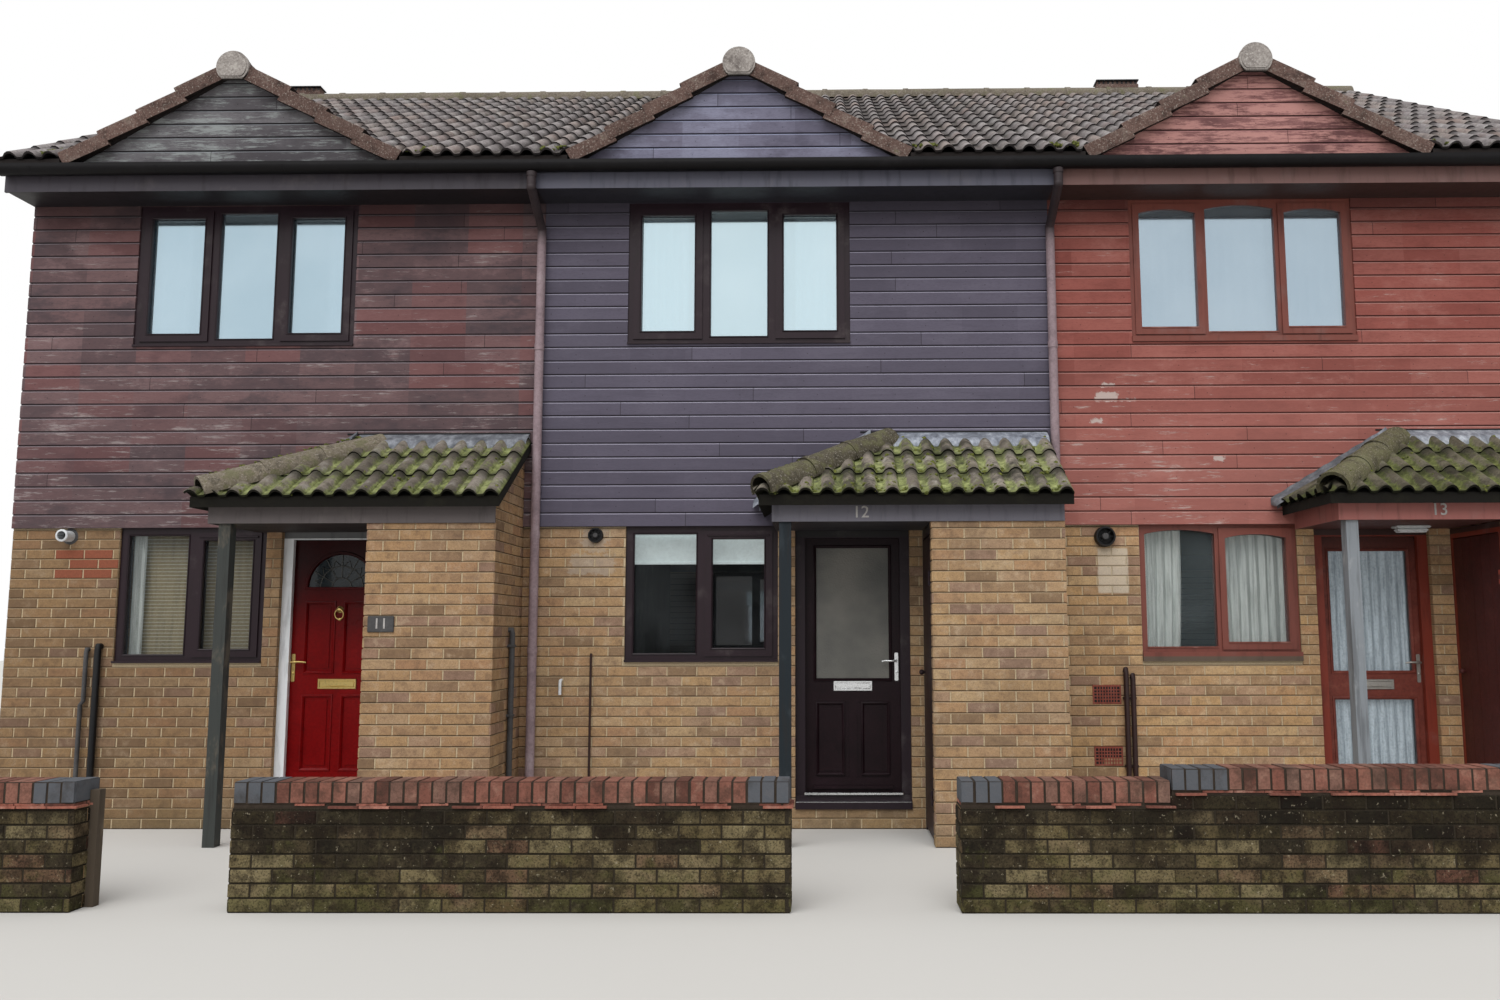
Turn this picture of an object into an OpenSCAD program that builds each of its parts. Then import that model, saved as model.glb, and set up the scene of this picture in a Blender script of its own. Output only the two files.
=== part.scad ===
// A row of three two-storey terraced houses with brick ground floors, boarded upper floors,
// front gablets, hipped porch roofs, brick stores beside the doors and low garden walls.
// X runs along the row, Y from the street to the back, Z up. The origin lies at ground
// level at the centre of the houses' footprint.

/* [Row] */
// Distance from party line to party line
house_w = 3945; // [3800:5:4300]
// Distance of each house's plan origin, beside its door, from the party line on its right
plan_r = 1972.5; // [1950:0.5:1990]
// Depth of the houses over their outer walls
house_d = 7200; // [6600:50:8400]
// Thickness of each party wall
party_t = 250; // [215:5:300]
// Thickness of the front and rear walls
wall_t = 275; // [240:5:340]

/* [Levels] */
// Top of the ground floor slab
floor_z = 220; // [170:5:240]
// Top of the first floor
first_z = 2700; // [2620:10:2800]
// Thickness of the first floor
first_t = 225; // [150:5:260]
// Top of the facing brickwork, where the boarding starts
brick_top = 2270; // [2230:5:2330]
// Underside of the eaves soffit
soffit_z = 4822; // [4780:2:4900]
// Height of the brick plinth under each door
plinth_h = 144; // [120:2:160]

/* [Boarding] */
// Thickness of the boarding at a board's face
board_t = 28; // [20:1:34]
// Height of board that shows between joints
board_h = 108; // [90:1:140]
// Depth of the groove at each joint
groove = 9; // [4:1:12]
// How far the boarding hangs below the top of the brickwork
board_drip = 8; // [0:1:20]
// Joint between the boarding of neighbouring houses
board_joint = 3; // [1:1:6]

/* [Roof] */
// Pitch of the main roof
roof_pitch = 30; // [26:0.5:33]
// How far the tiles reach out from the wall
eaves_out = 430; // [410:5:460]
// Height of the tiles' lower edge above the soffit
eaves_rise = 228; // [220:1:250]
// Thickness of tiles and battens
tile_t = 45; // [35:1:55]
// Thickness of rafters and lining below them
rafter_t = 60; // [40:2:90]
// Courses of tiles on each slope
courses = 14; // [12:1:16]
// Height of the step at each course
course_step = 13; // [6:1:18]
// Overhang of the roof past the end walls
verge_out = 30; // [10:5:60]
// Outer radius of the ridge tiles
ridge_r = 118; // [100:2:130]
// Wall of the ridge and hip tiles
ridge_t = 20; // [14:1:26]

/* [Gablets] */
// Middle of each house's gablet from its plan origin
gablet_x = [-357, -424, -452]; // [-460:1:-350]
// Pitch of the gablets
gablet_pitch = 31; // [28:0.5:34]
// Half the width of the gablet over its verges
gablet_half = 1300; // [1200:5:1400]
// Depth of the verge tiles seen from the street
verge_h = 88; // [80:2:140]
// Thickness of the verge tiles
verge_t = 38; // [26:1:46]
// Setback of the gablet's boards from the fascia's face
gablet_in = 20; // [20:1:40]
// Radius of the round block end on each gablet ridge
block_r = 120; // [110:1:135]

/* [Eaves] */
// Distance of the fascia's face from the wall
fascia_out = 380; // [360:5:400]
// Thickness of the fascia and porch boards
fascia_t = 20; // [14:1:26]
// Thickness of the soffit boards
soffit_t = 12; // [8:1:16]
// Drop of the fascia below the soffit
fascia_drop = 12; // [5:1:20]
// Width of the gutter
gutter_w = 112; // [100:2:120]
// Depth of the gutter
gutter_h = 80; // [70:1:90]
// Wall of the gutter
gutter_t = 4; // [3:0.5:6]
// Diameter of the downpipes
pipe_d = 68; // [60:1:75]

/* [Upper windows] */
// Width of each upper window
upper_w = 1735; // [1500:5:1800]
// Height of each upper window
upper_h = 1138; // [900:2:1140]
// Offset of each upper window from the middle of its gablet
upper_shift = -22; // [-60:2:40]

/* [Ground floor windows] */
// Width of each ground floor window
lower_w = [1136, 1166, 1195]; // [1000:1:1200]
// Sill height of the ground floor windows
lower_z = 1232; // [1150:2:1400]
// Left edge of each ground floor window from its plan origin
lower_x = [-1264, -1307, -1335]; // [-1400:1:-1260]

/* [Window frames] */
// Depth of the frames from front to back
frame_d = 70; // [60:1:80]
// Width of the outer frame
frame_w = 54; // [44:1:64]
// Width of the opening lights' frames
sash_w = 40; // [30:1:50]
// Width of the mullions
mullion_w = 66; // [44:1:72]
// How far the opening lights stand proud of the frame
sash_out = 12; // [6:1:16]
// Thickness of the glazing units
pane_t = 24; // [14:1:28]
// Depth of the groove that holds the glass
rebate = 12; // [8:1:16]
// Rise of the curved heads of the timber windows
head_rise = 30; // [10:2:40]
// Height of the timber windows' sills
timber_sill = 52; // [30:2:60]
// Clearance of glass and frames in their seats
seat_gap = 0.3; // [0.2:0.1:0.8]

/* [Front doors] */
// Left edge of the door opening from the plan origin
door_x = -10; // [-60:5:10]
// Width of the door opening
door_w = 872; // [840:2:900]
// Width of the door frame's posts
jamb_w = 60; // [50:1:70]
// Height of the door frame's head
head_h = 84; // [60:2:90]
// Depth of the door frame
jamb_d = 90; // [80:1:110]
// Setback of the door frame from the wall's face
door_in = 40; // [20:5:80]
// Height of the sill under the door
sill_h = 102; // [90:2:110]
// How far the sill stands out from the wall
sill_out = 22; // [5:1:28]
// Thickness of the door leaves
leaf_t = 44; // [38:1:50]
// Clearance around the door leaves
leaf_gap = 7.5; // [7:0.5:9]
// Furthest opening of the front doors in degrees
door_swing = 90; // [60:5:90]

/* [Stores] */
// Left side of each brick store from its plan origin
store_x = [949, 962, 1020]; // [940:1:1020]
// Width of each store
store_w = [901, 925, 905]; // [860:1:930]
// Depth of the store in front of the wall
store_d = 778; // [740:2:840]
// Thickness of the store's half-brick walls
half_brick = 102.5; // [95:0.5:112.5]
// Thickness of the store doors
store_leaf_t = 36; // [26:1:40]
// Height of the store doors' heads
store_door_h = 2140; // [1950:10:2180]
// Section of the store doors' frames
store_jamb = 32; // [26:1:40]

/* [Porches] */
// Left end of each porch fascia from its plan origin
porch_x = [-175, -155, -160]; // [-180:1:-140]
// Pitch of the porch roofs
porch_pitch = 31; // [28:0.5:34]
// Overhang of the porch tiles past the fascia
porch_out = 88; // [70:2:95]
// Overhang of the porch tiles past the store
porch_verge = 50; // [20:5:50]
// Height of the tiles' lower edge
porch_eaves = 2400; // [2390:5:2450]
// Underside of the porch fascia
porch_z = 2222; // [2210:2:2240]
// Height of the porch fascia
porch_fascia_h = 138; // [120:2:150]
// Thickness of the porch tiling
porch_t = 62; // [50:2:80]
// Courses of tiles on the porch roofs
porch_courses = 3; // [2:1:4]
// Outer radius of the hip tiles
hip_r = 86; // [60:2:95]
// Width of the square posts
post_w = 84; // [80:2:105]
// Left side of the posts from the plan origin
post_x = -105; // [-130:5:-90]

/* [Garden walls] */
// Distance of the garden wall's face from the houses
garden_out = 2660; // [2400:10:3200]
// Thickness of the garden walls
garden_t = 215; // [200:5:225]
// Height of the brickwork below the coping
garden_h = 535; // [450:5:600]
// Step up of the garden wall on the right
garden_step = 65; // [40:5:75]
// Thickness of the creasing tiles
creasing_t = 25; // [15:1:30]
// Overhang of the creasing tiles
creasing_out = 22; // [10:1:35]
// Height of the brick-on-edge coping
coping_h = 112; // [100:1:120]

/* [Hidden] */
houses = 3;

$fn = 48;
row_w = houses * house_w + party_t;
front_y = -house_d / 2;
left_line = plan_r - house_w;
room_l = left_line + party_t / 2;
room_r = plan_r - party_t / 2;
far = 20000;

roof_tan = tan(roof_pitch);
tile_z = soffit_z + eaves_rise;
ridge_run = house_d / 2 + eaves_out;
ridge_z = tile_z + ridge_run * roof_tan;
tile_v = tile_t / cos(roof_pitch);
roof_v = (tile_t + rafter_t) / cos(roof_pitch);
gablet_tan = tan(gablet_pitch);
gablet_top = tile_z + gablet_half * gablet_tan;
gablet_run = (gablet_top - tile_z) / roof_tan;
upper_z = soffit_z - upper_h - seat_gap;
head_z = brick_top - seat_gap;
lower_h = head_z - lower_z;

threshold_z = plinth_h + sill_h;
leaf_x = door_x + jamb_w + leaf_gap;
leaf_w = door_w - 2 * (jamb_w + leaf_gap);
leaf_z = threshold_z + leaf_gap;
leaf_h = head_z - head_h - leaf_gap - leaf_z;
leaf_y = door_in + jamb_d - leaf_t;
stop_w = 14;

store_back = -store_jamb - 3;
store_front = -store_d + half_brick;
porch_run = store_d + fascia_t + porch_out;
porch_tan = tan(porch_pitch);
porch_top = porch_eaves + porch_run * porch_tan;
porch_v = porch_t / cos(porch_pitch);
board_y = -board_t - seat_gap;

// Gateways in the garden wall: left and right side from each house's plan origin
gates = [[179, 1020], [21, 917], [21, 889]];

brick_yellow = "#b08a5c";
boards_red_brown = "#6b4a47";
boards_purple = "#5b5360";
boards_red = "#96524a";
tile_grey = "#7a6e66";
tile_moss = "#7d8257";
rosewood = "#2e1c20";
timber_orange = "#8e4a34";
dark_fascia = "#3b3136";
concrete = "#a5a29b";

// Left side of a house's upper window, and the ends of its store and porch roof
function upper_x(i) = gablet_x[i] + upper_shift - upper_w / 2;
function store_end(i) = store_x[i] + store_w[i];
function porch_left(i) = porch_x[i] - porch_out;
function porch_right(i) = store_end(i) + porch_verge;

// Place of a house's plan origin along the row
function house_at(i) = (i + 1 - houses / 2) * house_w - plan_r;

// Height of the roof's tiled face above the eaves at a distance y behind the wall's face
function roof_at(y) = tile_z + (y + eaves_out) * roof_tan;

// Height of the porch tiling at a distance y behind the wall's face
function porch_at(y) = porch_top + y * porch_tan;

// Points of a stepped slope, with the lower edge of each course on the true plane
function stepped(from, to, n, step) = [
    for (k = [0 : n - 1], end = [0, 1])
        let (p = from + (to - from) * (k + end) / n)
        [p[0], p[1] - end * step]];

// The street side, with the wall's outer face at Y = 0
module at_front() {
    translate([0, front_y, 0]) children();
}

// The garden side, a mirror image of the street side
module at_rear() {
    translate([0, -front_y, 0]) mirror([0, 1, 0]) children();
}

// One copy in each house, with the house's number in $house
module each_house() {
    for (i = [0 : houses - 1])
        translate([house_at(i), 0, 0]) {
            $house = i;
            children();
        }
}

// A copy in one house
module in_house(i) {
    translate([house_at(i), 0, 0]) {
        $house = i;
        children();
    }
}

// A box from one corner to the other
module block(low, high) {
    translate(low) cube(high - low);
}

// Extrudes an outline of [y, z] points along X
module along_x(x0, x1) {
    translate([x0, 0, 0]) rotate([90, 0, 90]) linear_extrude(x1 - x0) children();
}

// Extrudes an outline of [x, z] points along Y
module along_y(y0, y1) {
    translate([0, y1, 0]) rotate([90, 0, 0]) linear_extrude(y1 - y0) children();
}

module party_walls() {
    color(concrete) at_front()
        for (k = [0 : houses])
            along_x((k - houses / 2) * house_w - party_t / 2, (k - houses / 2) * house_w + party_t / 2)
                polygon([[wall_t, 0], [house_d - wall_t, 0],
                    [house_d - wall_t, roof_at(wall_t) - roof_v - seat_gap],
                    [house_d / 2, ridge_z - roof_v - seat_gap],
                    [wall_t, roof_at(wall_t) - roof_v - seat_gap]]);
}

// Ground floor wall with window notches and full-height door gaps
module brick_wall() {
    difference() {
        block([-row_w / 2, 0, 0], [row_w / 2, wall_t, brick_top]);
        each_house() {
            block([lower_x[$house], -1, lower_z],
                [lower_x[$house] + lower_w[$house], wall_t + 1, brick_top + 1]);
            block([door_x, -1, -1], [door_x + door_w, wall_t + 1, brick_top + 1]);
        }
    }
}

module front_brick() {
    color(brick_yellow) at_front() brick_wall();
}

module door_plinths() {
    color(brick_yellow) {
        at_front() each_house() door_plinth();
        at_rear() each_house() door_plinth();
    }
}

module door_plinth() {
    block([door_x, 0, 0], [door_x + door_w, wall_t, plinth_h]);
}

module rear_brick() {
    color(brick_yellow) at_rear() brick_wall();
}

// Upper wall, cut to the roof's slope, with window openings
module upper_wall() {
    difference() {
        along_x(-row_w / 2, row_w / 2)
            polygon([[0, brick_top], [wall_t, brick_top],
                [wall_t, roof_at(wall_t) - roof_v - seat_gap],
                [0, roof_at(0) - roof_v - seat_gap]]);
        each_house() upper_opening();
    }
}

module upper_opening() {
    x = upper_x($house);
    block([x, -board_t - 1, upper_z], [x + upper_w, wall_t + 1, upper_z + upper_h]);
}

module front_upper_wall() {
    color(concrete) at_front() upper_wall();
}

module rear_upper_wall() {
    color(concrete) at_rear() upper_wall();
}

// Outline in [y, z] of a stack of grooved boards with their backs at Y = 0
module board_outline(z0, z1) {
    n = ceil((z1 - z0) / board_h);
    intersection() {
        translate([-board_t, z0]) square([board_t, z1 - z0]);
        polygon(concat([[0, z0]],
            [for (k = [0 : n - 1], p = [[-board_t, 0], [-board_t, board_h - 2 * groove],
                [groove - board_t, board_h - groove], [groove - board_t, board_h]])
                [p[0], z0 + k * board_h + p[1]]],
            [[0, z0 + n * board_h]]));
    }
}

// Boarding of one house on the street side, past the party line on an end house
module house_boards(left_more, right_more) {
    difference() {
        along_x(left_line + board_joint / 2 - left_more, plan_r - board_joint / 2 + right_more)
            board_outline(brick_top - board_drip, soffit_z);
        upper_opening();
    }
}

end_more = (party_t + board_joint) / 2;

module cladding_1() {
    color(boards_red_brown) at_front() in_house(0) house_boards(end_more, 0);
}

module cladding_2() {
    color(boards_purple) at_front() in_house(1) house_boards(0, 0);
}

module cladding_3() {
    color(boards_red) at_front() in_house(2) house_boards(0, end_more);
}

module rear_cladding() {
    color(boards_red_brown) at_rear() {
        in_house(0) house_boards(end_more, 0);
        in_house(1) house_boards(0, 0);
        in_house(2) house_boards(0, end_more);
    }
}

module ground_floor() {
    color(concrete) each_house()
        block([room_l, front_y + wall_t, 0], [room_r, -front_y - wall_t, floor_z]);
}

module first_floor() {
    color("#c8a878") each_house()
        block([room_l, front_y + wall_t, first_z - first_t],
            [room_r, -front_y - wall_t, first_z]);
}

// Cells of a window: left edges and widths from their relative widths
function cell_w(w, cells, face, mullion, k) =
    (w - 2 * face - (len(cells) - 1) * mullion) * cells[k] / (cells * [for (c = cells) 1]);
function cell_x(w, cells, face, mullion, k) =
    k == 0 ? face : cell_x(w, cells, face, mullion, k - 1)
        + cell_w(w, cells, face, mullion, k - 1) + mullion;

// Frame sizes of each house: face, sash, mullion, head rise, sill below the frame
function style(i) = i == 2 ? [frame_w - 9, sash_w - 5, mullion_w - 24, head_rise, timber_sill]
    : [frame_w, sash_w, mullion_w, 0, 0];

// One light's hole in [x, z], with a curved head where it has a rise
module light_hole(w, h, rise) {
    r = rise > 0 ? (w * w / 4 + rise * rise) / (2 * rise) : 0;
    if (rise > 0) {
        square([w, h - rise]);
        intersection() {
            translate([0, h - 2 * rise]) square([w, 2 * rise]);
            translate([w / 2, h - r]) circle(r, $fn = 96);
        }
    } else {
        square([w, h]);
    }
}

// A window: cells lists relative widths, opens says which lights have a sash
module window_frame(w, h, cells, opens, s) {
    difference() {
        union() {
            block([0, 0, 0], [w, frame_d, h]);
            for (k = [0 : len(cells) - 1])
                if (opens[k])
                    translate([cell_x(w, cells, s[0], s[2], k), -sash_out, s[0]])
                        block([-rebate, 0, -rebate],
                            [cell_w(w, cells, s[0], s[2], k) + rebate, sash_out + 1,
                             h - 2 * s[0] + rebate]);
        }
        for (k = [0 : len(cells) - 1]) {
            side = opens[k] ? s[1] : 0;
            cw = cell_w(w, cells, s[0], s[2], k) - 2 * side;
            ch = h - 2 * s[0] - 2 * side;
            translate([cell_x(w, cells, s[0], s[2], k) + side, 0, s[0] + side]) {
                along_y(-sash_out - 1, frame_d + 1) light_hole(cw, ch, s[3]);
                pane(cw, ch, seat_gap);
            }
        }
    }
}

// A glazing unit in its groove; more is the clearance added round it
module pane(w, h, more) {
    block([-rebate - more, (frame_d - pane_t) / 2 - more, -rebate - more],
        [w + rebate + more, (frame_d + pane_t) / 2 + more, h + rebate + more]);
}

module window_panes(w, h, cells, opens, s) {
    for (k = [0 : len(cells) - 1]) {
        side = opens[k] ? s[1] : 0;
        translate([cell_x(w, cells, s[0], s[2], k) + side, 0, s[0] + side])
            pane(cell_w(w, cells, s[0], s[2], k) - 2 * side, h - 2 * s[0] - 2 * side, 0);
    }
}

lower_cells = [1, 1];
lower_opens = [false, true];
upper_opens = [true, false, true];
lower_in = 18;
function upper_cells(i) = i == 2 ? [1, 1.05, 1] : [1, 0.9, 1];

module place_lower() {
    translate([lower_x[$house] + seat_gap, lower_in, lower_z + seat_gap]) children();
}

module place_upper() {
    translate([upper_x($house) + seat_gap, -board_t / 2, upper_z + seat_gap]) children();
}

// Frame of a ground floor window on its sill; the sill stands out from the wall
module lower_frame(s) {
    w = lower_w[$house] - 2 * seat_gap;
    translate([0, 0, s[4]]) window_frame(w, lower_h - seat_gap - s[4], lower_cells, lower_opens, s);
    block([0, -lower_in - 24, 0], [w, 1, s[4] + 16]);
    block([0, 0, 0], [w, frame_d, s[4] + 16]);
}

module lower_panes(s) {
    translate([0, 0, s[4]])
        window_panes(lower_w[$house] - 2 * seat_gap, lower_h - seat_gap - s[4], lower_cells,
            lower_opens, s);
}

module upper_frame(s, i) {
    rise = s[4] / 2;
    w = upper_w - 2 * seat_gap;
    translate([0, 0, rise])
        window_frame(w, upper_h - 2 * seat_gap - rise, upper_cells(i), upper_opens, s);
    block([0, -30, 0], [w, 1, rise + 16]);
    block([0, 0, 0], [w, frame_d, rise + 16]);
}

module upper_panes(s, i) {
    rise = s[4] / 2;
    translate([0, 0, rise])
        window_panes(upper_w - 2 * seat_gap, upper_h - 2 * seat_gap - rise, upper_cells(i),
            upper_opens, s);
}

module lower_windows() {
    at_front() each_house() place_lower()
        color($house == 2 ? timber_orange : rosewood) lower_frame(style($house));
}

module upper_windows() {
    at_front() each_house() place_upper()
        color($house == 2 ? timber_orange : rosewood) upper_frame(style($house), $house);
}

module lower_glass() {
    color("#9fb0bb", 0.5) at_front() each_house() place_lower() lower_panes(style($house));
}

module upper_glass() {
    color("#9fb0bb", 0.5) at_front() each_house() place_upper()
        upper_panes(style($house), $house);
}

module rear_windows() {
    color(rosewood) at_rear() each_house() {
        place_lower() lower_frame(style(0));
        place_upper() upper_frame(style(0), 0);
    }
}

module rear_glass() {
    color("#9fb0bb", 0.5) at_rear() each_house() {
        place_lower() lower_panes(style(0));
        place_upper() upper_panes(style(0), 0);
    }
}

// Frame of a front or rear door: posts, head, outer stop and sill
module door_frame() {
    x1 = door_x + door_w - seat_gap;
    x0 = door_x + seat_gap;
    difference() {
        block([x0, door_in, plinth_h], [x1, door_in + jamb_d, head_z]);
        block([door_x + jamb_w, door_in + jamb_d - leaf_t - leaf_gap, threshold_z],
            [door_x + door_w - jamb_w, door_in + jamb_d + 1, head_z - head_h]);
        block([door_x + jamb_w + stop_w, door_in - 1, threshold_z],
            [door_x + door_w - jamb_w - stop_w, door_in + jamb_d, head_z - head_h - stop_w]);
    }
    block([x0, -sill_out, plinth_h], [x1, door_in, threshold_z - sill_h / 2]);
    block([x0, sill_out, threshold_z - sill_h / 2], [x1, door_in, threshold_z]);
}

hinge_r = 6.5;
hinge_h = 100;
hinge_in = 12;
hinge_x = 4;
pin_r = 3.5;
pin_gap = 0.3;
flap_w = 34;
flap_t = 4;

// Fixed half of a hinge: pin, outer knuckles and flap on the frame, about the Z axis
module hinge_fixed() {
    cylinder(r = pin_r, h = hinge_h);
    for (z = [0, hinge_h * 2 / 3])
        translate([0, 0, z]) {
            cylinder(r = hinge_r, h = hinge_h / 3);
            block([-leaf_gap + hinge_x - flap_w, -hinge_in, 0], [-leaf_gap + hinge_x, -hinge_in + flap_t,
                hinge_h / 3]);
            block([-leaf_gap + hinge_x - flap_t, -hinge_in, 0], [0, -hinge_r + flap_t, hinge_h / 3]);
        }
}

// Moving half of a hinge: middle knuckle round the pin and flap on the leaf
module hinge_moving() {
    h = hinge_h / 3 - 2 * pin_gap;
    translate([0, 0, hinge_h / 3 + pin_gap]) difference() {
        union() {
            cylinder(r = hinge_r, h = h);
            block([0, -hinge_in, 0], [hinge_x + flap_w, -hinge_in + flap_t, h]);
            block([0, -hinge_in, 0], [hinge_x, -hinge_r + flap_t, h]);
        }
        translate([0, 0, -1]) cylinder(r = pin_r + pin_gap, h = h + 2);
    }
}

// Places a hinge at three heights of a front door; right tells the hinged side
module at_door_hinges(right) {
    for (z = [160, leaf_h / 2 - hinge_h / 2, leaf_h - 160 - hinge_h])
        translate([right ? leaf_x + leaf_w + hinge_x : leaf_x - hinge_x, leaf_y + leaf_t + hinge_in,
            leaf_z + z])
            mirror([right ? 1 : 0, 0, 0]) children();
}

// Places a hinge at the two ends of a store door's front edge
module at_store_hinges() {
    for (z = [260, store_door_h - 360])
        translate([store_x[$house] - hinge_in, store_front + store_jamb + leaf_gap - hinge_x, z])
            rotate([0, 0, 90]) children();
}

// Frame of the store door: two posts and a head on the store's left side
module store_frame() {
    x = store_x[$house];
    difference() {
        block([x, store_front + seat_gap, 0],
            [x + store_leaf_t + store_jamb, -seat_gap, porch_z - seat_gap]);
        block([x - 1, store_front + seat_gap + store_jamb, -1],
            [x + store_leaf_t + leaf_gap, -store_jamb, store_door_h + leaf_gap]);
        block([x, store_front + seat_gap + store_jamb + stop_w, -1],
            [x + store_leaf_t + store_jamb + 1, -store_jamb - stop_w,
             store_door_h + leaf_gap - stop_w]);
    }
}

module door_frames() {
    at_front() each_house() {
        color(["white", rosewood, timber_orange][$house]) {
            door_frame();
            at_door_hinges($house == 0) hinge_fixed();
        }
        color(["#4a2028", rosewood, "#5a2426"][$house]) {
            store_frame();
            at_store_hinges() hinge_fixed();
        }
    }
}

// Recess or opening in a leaf given by its place from the leaf's lower left corner
module leaf_hole(x, z, w, h, y0, y1) {
    block([leaf_x + x, leaf_y + y0, leaf_z + z], [leaf_x + x + w, leaf_y + y1, leaf_z + z + h]);
}

panel_sink = 9;
glass_t = 20;
half_door_glass_h = 1012;
stile = 82;
timber_stile = 62;
panel_out = 150;
timber_glass_h = 927;

// A sunk panel with a raised field in its middle, its margin in from the edges
module sunk_panel(x, z, w, h, margin) {
    difference() {
        leaf_hole(x, z, w, h, -1, panel_sink);
        leaf_hole(x + margin, z + margin, w - 2 * margin, h - 2 * margin, 3, panel_sink + 1);
    }
}

// Two panels side by side about the middle of the leaf
module panel_pair(z, w, h, margin) {
    for (side = [-1, 1])
        sunk_panel(leaf_w / 2 + side * panel_out - w / 2, z, w, h, margin);
}

// Solid leaf, before its glass and panels are cut
module leaf_blank() {
    block([leaf_x, leaf_y, leaf_z], [leaf_x + leaf_w, leaf_y + leaf_t, leaf_z + leaf_h]);
}

// Seat of a door's glass: a hole with a groove round it
module glass_seat(x, z, w, h) {
    leaf_hole(x, z, w, h, -1, leaf_t + 1);
    leaf_hole(x - rebate, z - rebate, w + 2 * rebate, h + 2 * rebate,
        (leaf_t - glass_t) / 2 - seat_gap, (leaf_t + glass_t) / 2 + seat_gap);
}

module glass_unit(x, z, w, h) {
    r = rebate - seat_gap;
    leaf_hole(x - r, z - r, w + 2 * r, h + 2 * r, (leaf_t - glass_t) / 2, (leaf_t + glass_t) / 2);
}

fan_r = 262;
fan_x = leaf_w / 2;
fan_z = 1552;

// Half-round fanlight of the panelled door, widened by more all round
module fan(more, y0, y1) {
    translate([leaf_x + fan_x, 0, leaf_z + fan_z])
        along_y(leaf_y + y0, leaf_y + y1)
            intersection() {
                circle(fan_r + more, $fn = 64);
                translate([-2 * fan_r, -more]) square([4 * fan_r, 2 * fan_r]);
            }
}

// Panels of the red door: their width, heights above its foot and own heights
red_panel_w = 212;
red_panel_z = [176, 906];
red_panel_h = [548, 527];

// Heights of the glass of the other doors above the foot of the leaf, and of the lower pane
half_door_glass_z = 842;
timber_glass_z = 892;
timber_low_z = 180;
timber_low_h = 516;

module front_door_1() {
    color("#8e1016") at_front() in_house(0) difference() {
        leaf_blank();
        fan(0, -1, leaf_t + 1);
        fan(rebate, (leaf_t - glass_t) / 2 - seat_gap, (leaf_t + glass_t) / 2 + seat_gap);
        panel_pair(red_panel_z[0], red_panel_w, red_panel_h[0], 30);
        panel_pair(red_panel_z[1], red_panel_w, red_panel_h[1], 30);
    }
}

dark_panel_w = 240;
dark_panel_z = 112;
dark_panel_h = 564;

module front_door_2() {
    color(rosewood) at_front() in_house(1) {
        difference() {
            leaf_blank();
            glass_seat(stile, half_door_glass_z, leaf_w - 2 * stile, half_door_glass_h);
            panel_pair(dark_panel_z, dark_panel_w, dark_panel_h, 50);
        }
        leaf_hole(70, 30, leaf_w - 140, 22, -18, 1);
    }
}

module front_door_3() {
    color(timber_orange) at_front() in_house(2) difference() {
        leaf_blank();
        glass_seat(timber_stile, timber_glass_z, leaf_w - 2 * timber_stile, timber_glass_h);
        glass_seat(timber_stile, timber_low_z, leaf_w - 2 * timber_stile, timber_low_h);
    }
}

module door_glass_1() {
    color("#6d7880", 0.6) at_front() in_house(0)
        fan(rebate - seat_gap, (leaf_t - glass_t) / 2, (leaf_t + glass_t) / 2);
}

module door_glass_2() {
    color("#6d7880", 0.6) at_front() in_house(1)
        glass_unit(stile, half_door_glass_z, leaf_w - 2 * stile, half_door_glass_h);
}

module door_glass_3() {
    color("#6d7880", 0.6) at_front() in_house(2) {
        glass_unit(timber_stile, timber_glass_z, leaf_w - 2 * timber_stile, timber_glass_h);
        glass_unit(timber_stile, timber_low_z, leaf_w - 2 * timber_stile, timber_low_h);
    }
}

// Lever handle on a backplate, pointing towards the hinge side given by toward
module lever(x, z, toward) {
    translate([leaf_x + x, leaf_y, leaf_z + z]) {
        block([-14, -8, -65], [14, 0, 150]);
        translate([0, -8, 90]) rotate([90, 0, 0]) cylinder(r = 9, h = 34);
        translate([toward > 0 ? -9 : -110, -50, 82]) cube([119, 12, 16]);
    }
}

module letter_plate(x, z) {
    leaf_hole(x - 148, z, 296, 76, -7, 0);
}

// Heights of the lever handles and the knocker above the foot of the leaf
handle_z = 893;
knocker_z = 1348;

module door_fittings_1() {
    color("#c9a24a") at_front() in_house(0) {
        at_door_hinges(true) hinge_moving();
        lever(26, handle_z, 1);
        letter_plate(leaf_w / 2, 778);
        translate([leaf_x + leaf_w / 2, leaf_y, leaf_z + knocker_z]) rotate([90, 0, 0])
            cylinder(r = 26, h = 16);
    }
}

module door_fittings_2() {
    color("#d8d8d4") at_front() in_house(1) {
        at_door_hinges(false) hinge_moving();
        lever(leaf_w - 36, handle_z, -1);
        letter_plate(leaf_w / 2, 757);
    }
}

module door_fittings_3() {
    color("#c9a24a") at_front() in_house(2) {
        at_door_hinges(false) hinge_moving();
        lever(leaf_w - 30, handle_z - 20, -1);
        letter_plate(leaf_w / 2, 762);
    }
}

module rear_doors() {
    color(rosewood) at_rear() each_house() {
        door_frame();
        difference() {
            block([door_x + jamb_w, leaf_y, threshold_z],
                [door_x + door_w - jamb_w, leaf_y + leaf_t, head_z - head_h]);
            glass_seat(stile, half_door_glass_z, leaf_w - 2 * stile, half_door_glass_h);
        }
    }
    color("#6d7880", 0.6) at_rear() each_house()
        glass_unit(stile, half_door_glass_z, leaf_w - 2 * stile, half_door_glass_h);
}

// Height of the underside of the porch tiling at a distance y behind the wall's face
function porch_under(y) = porch_at(y) - porch_v;

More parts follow.
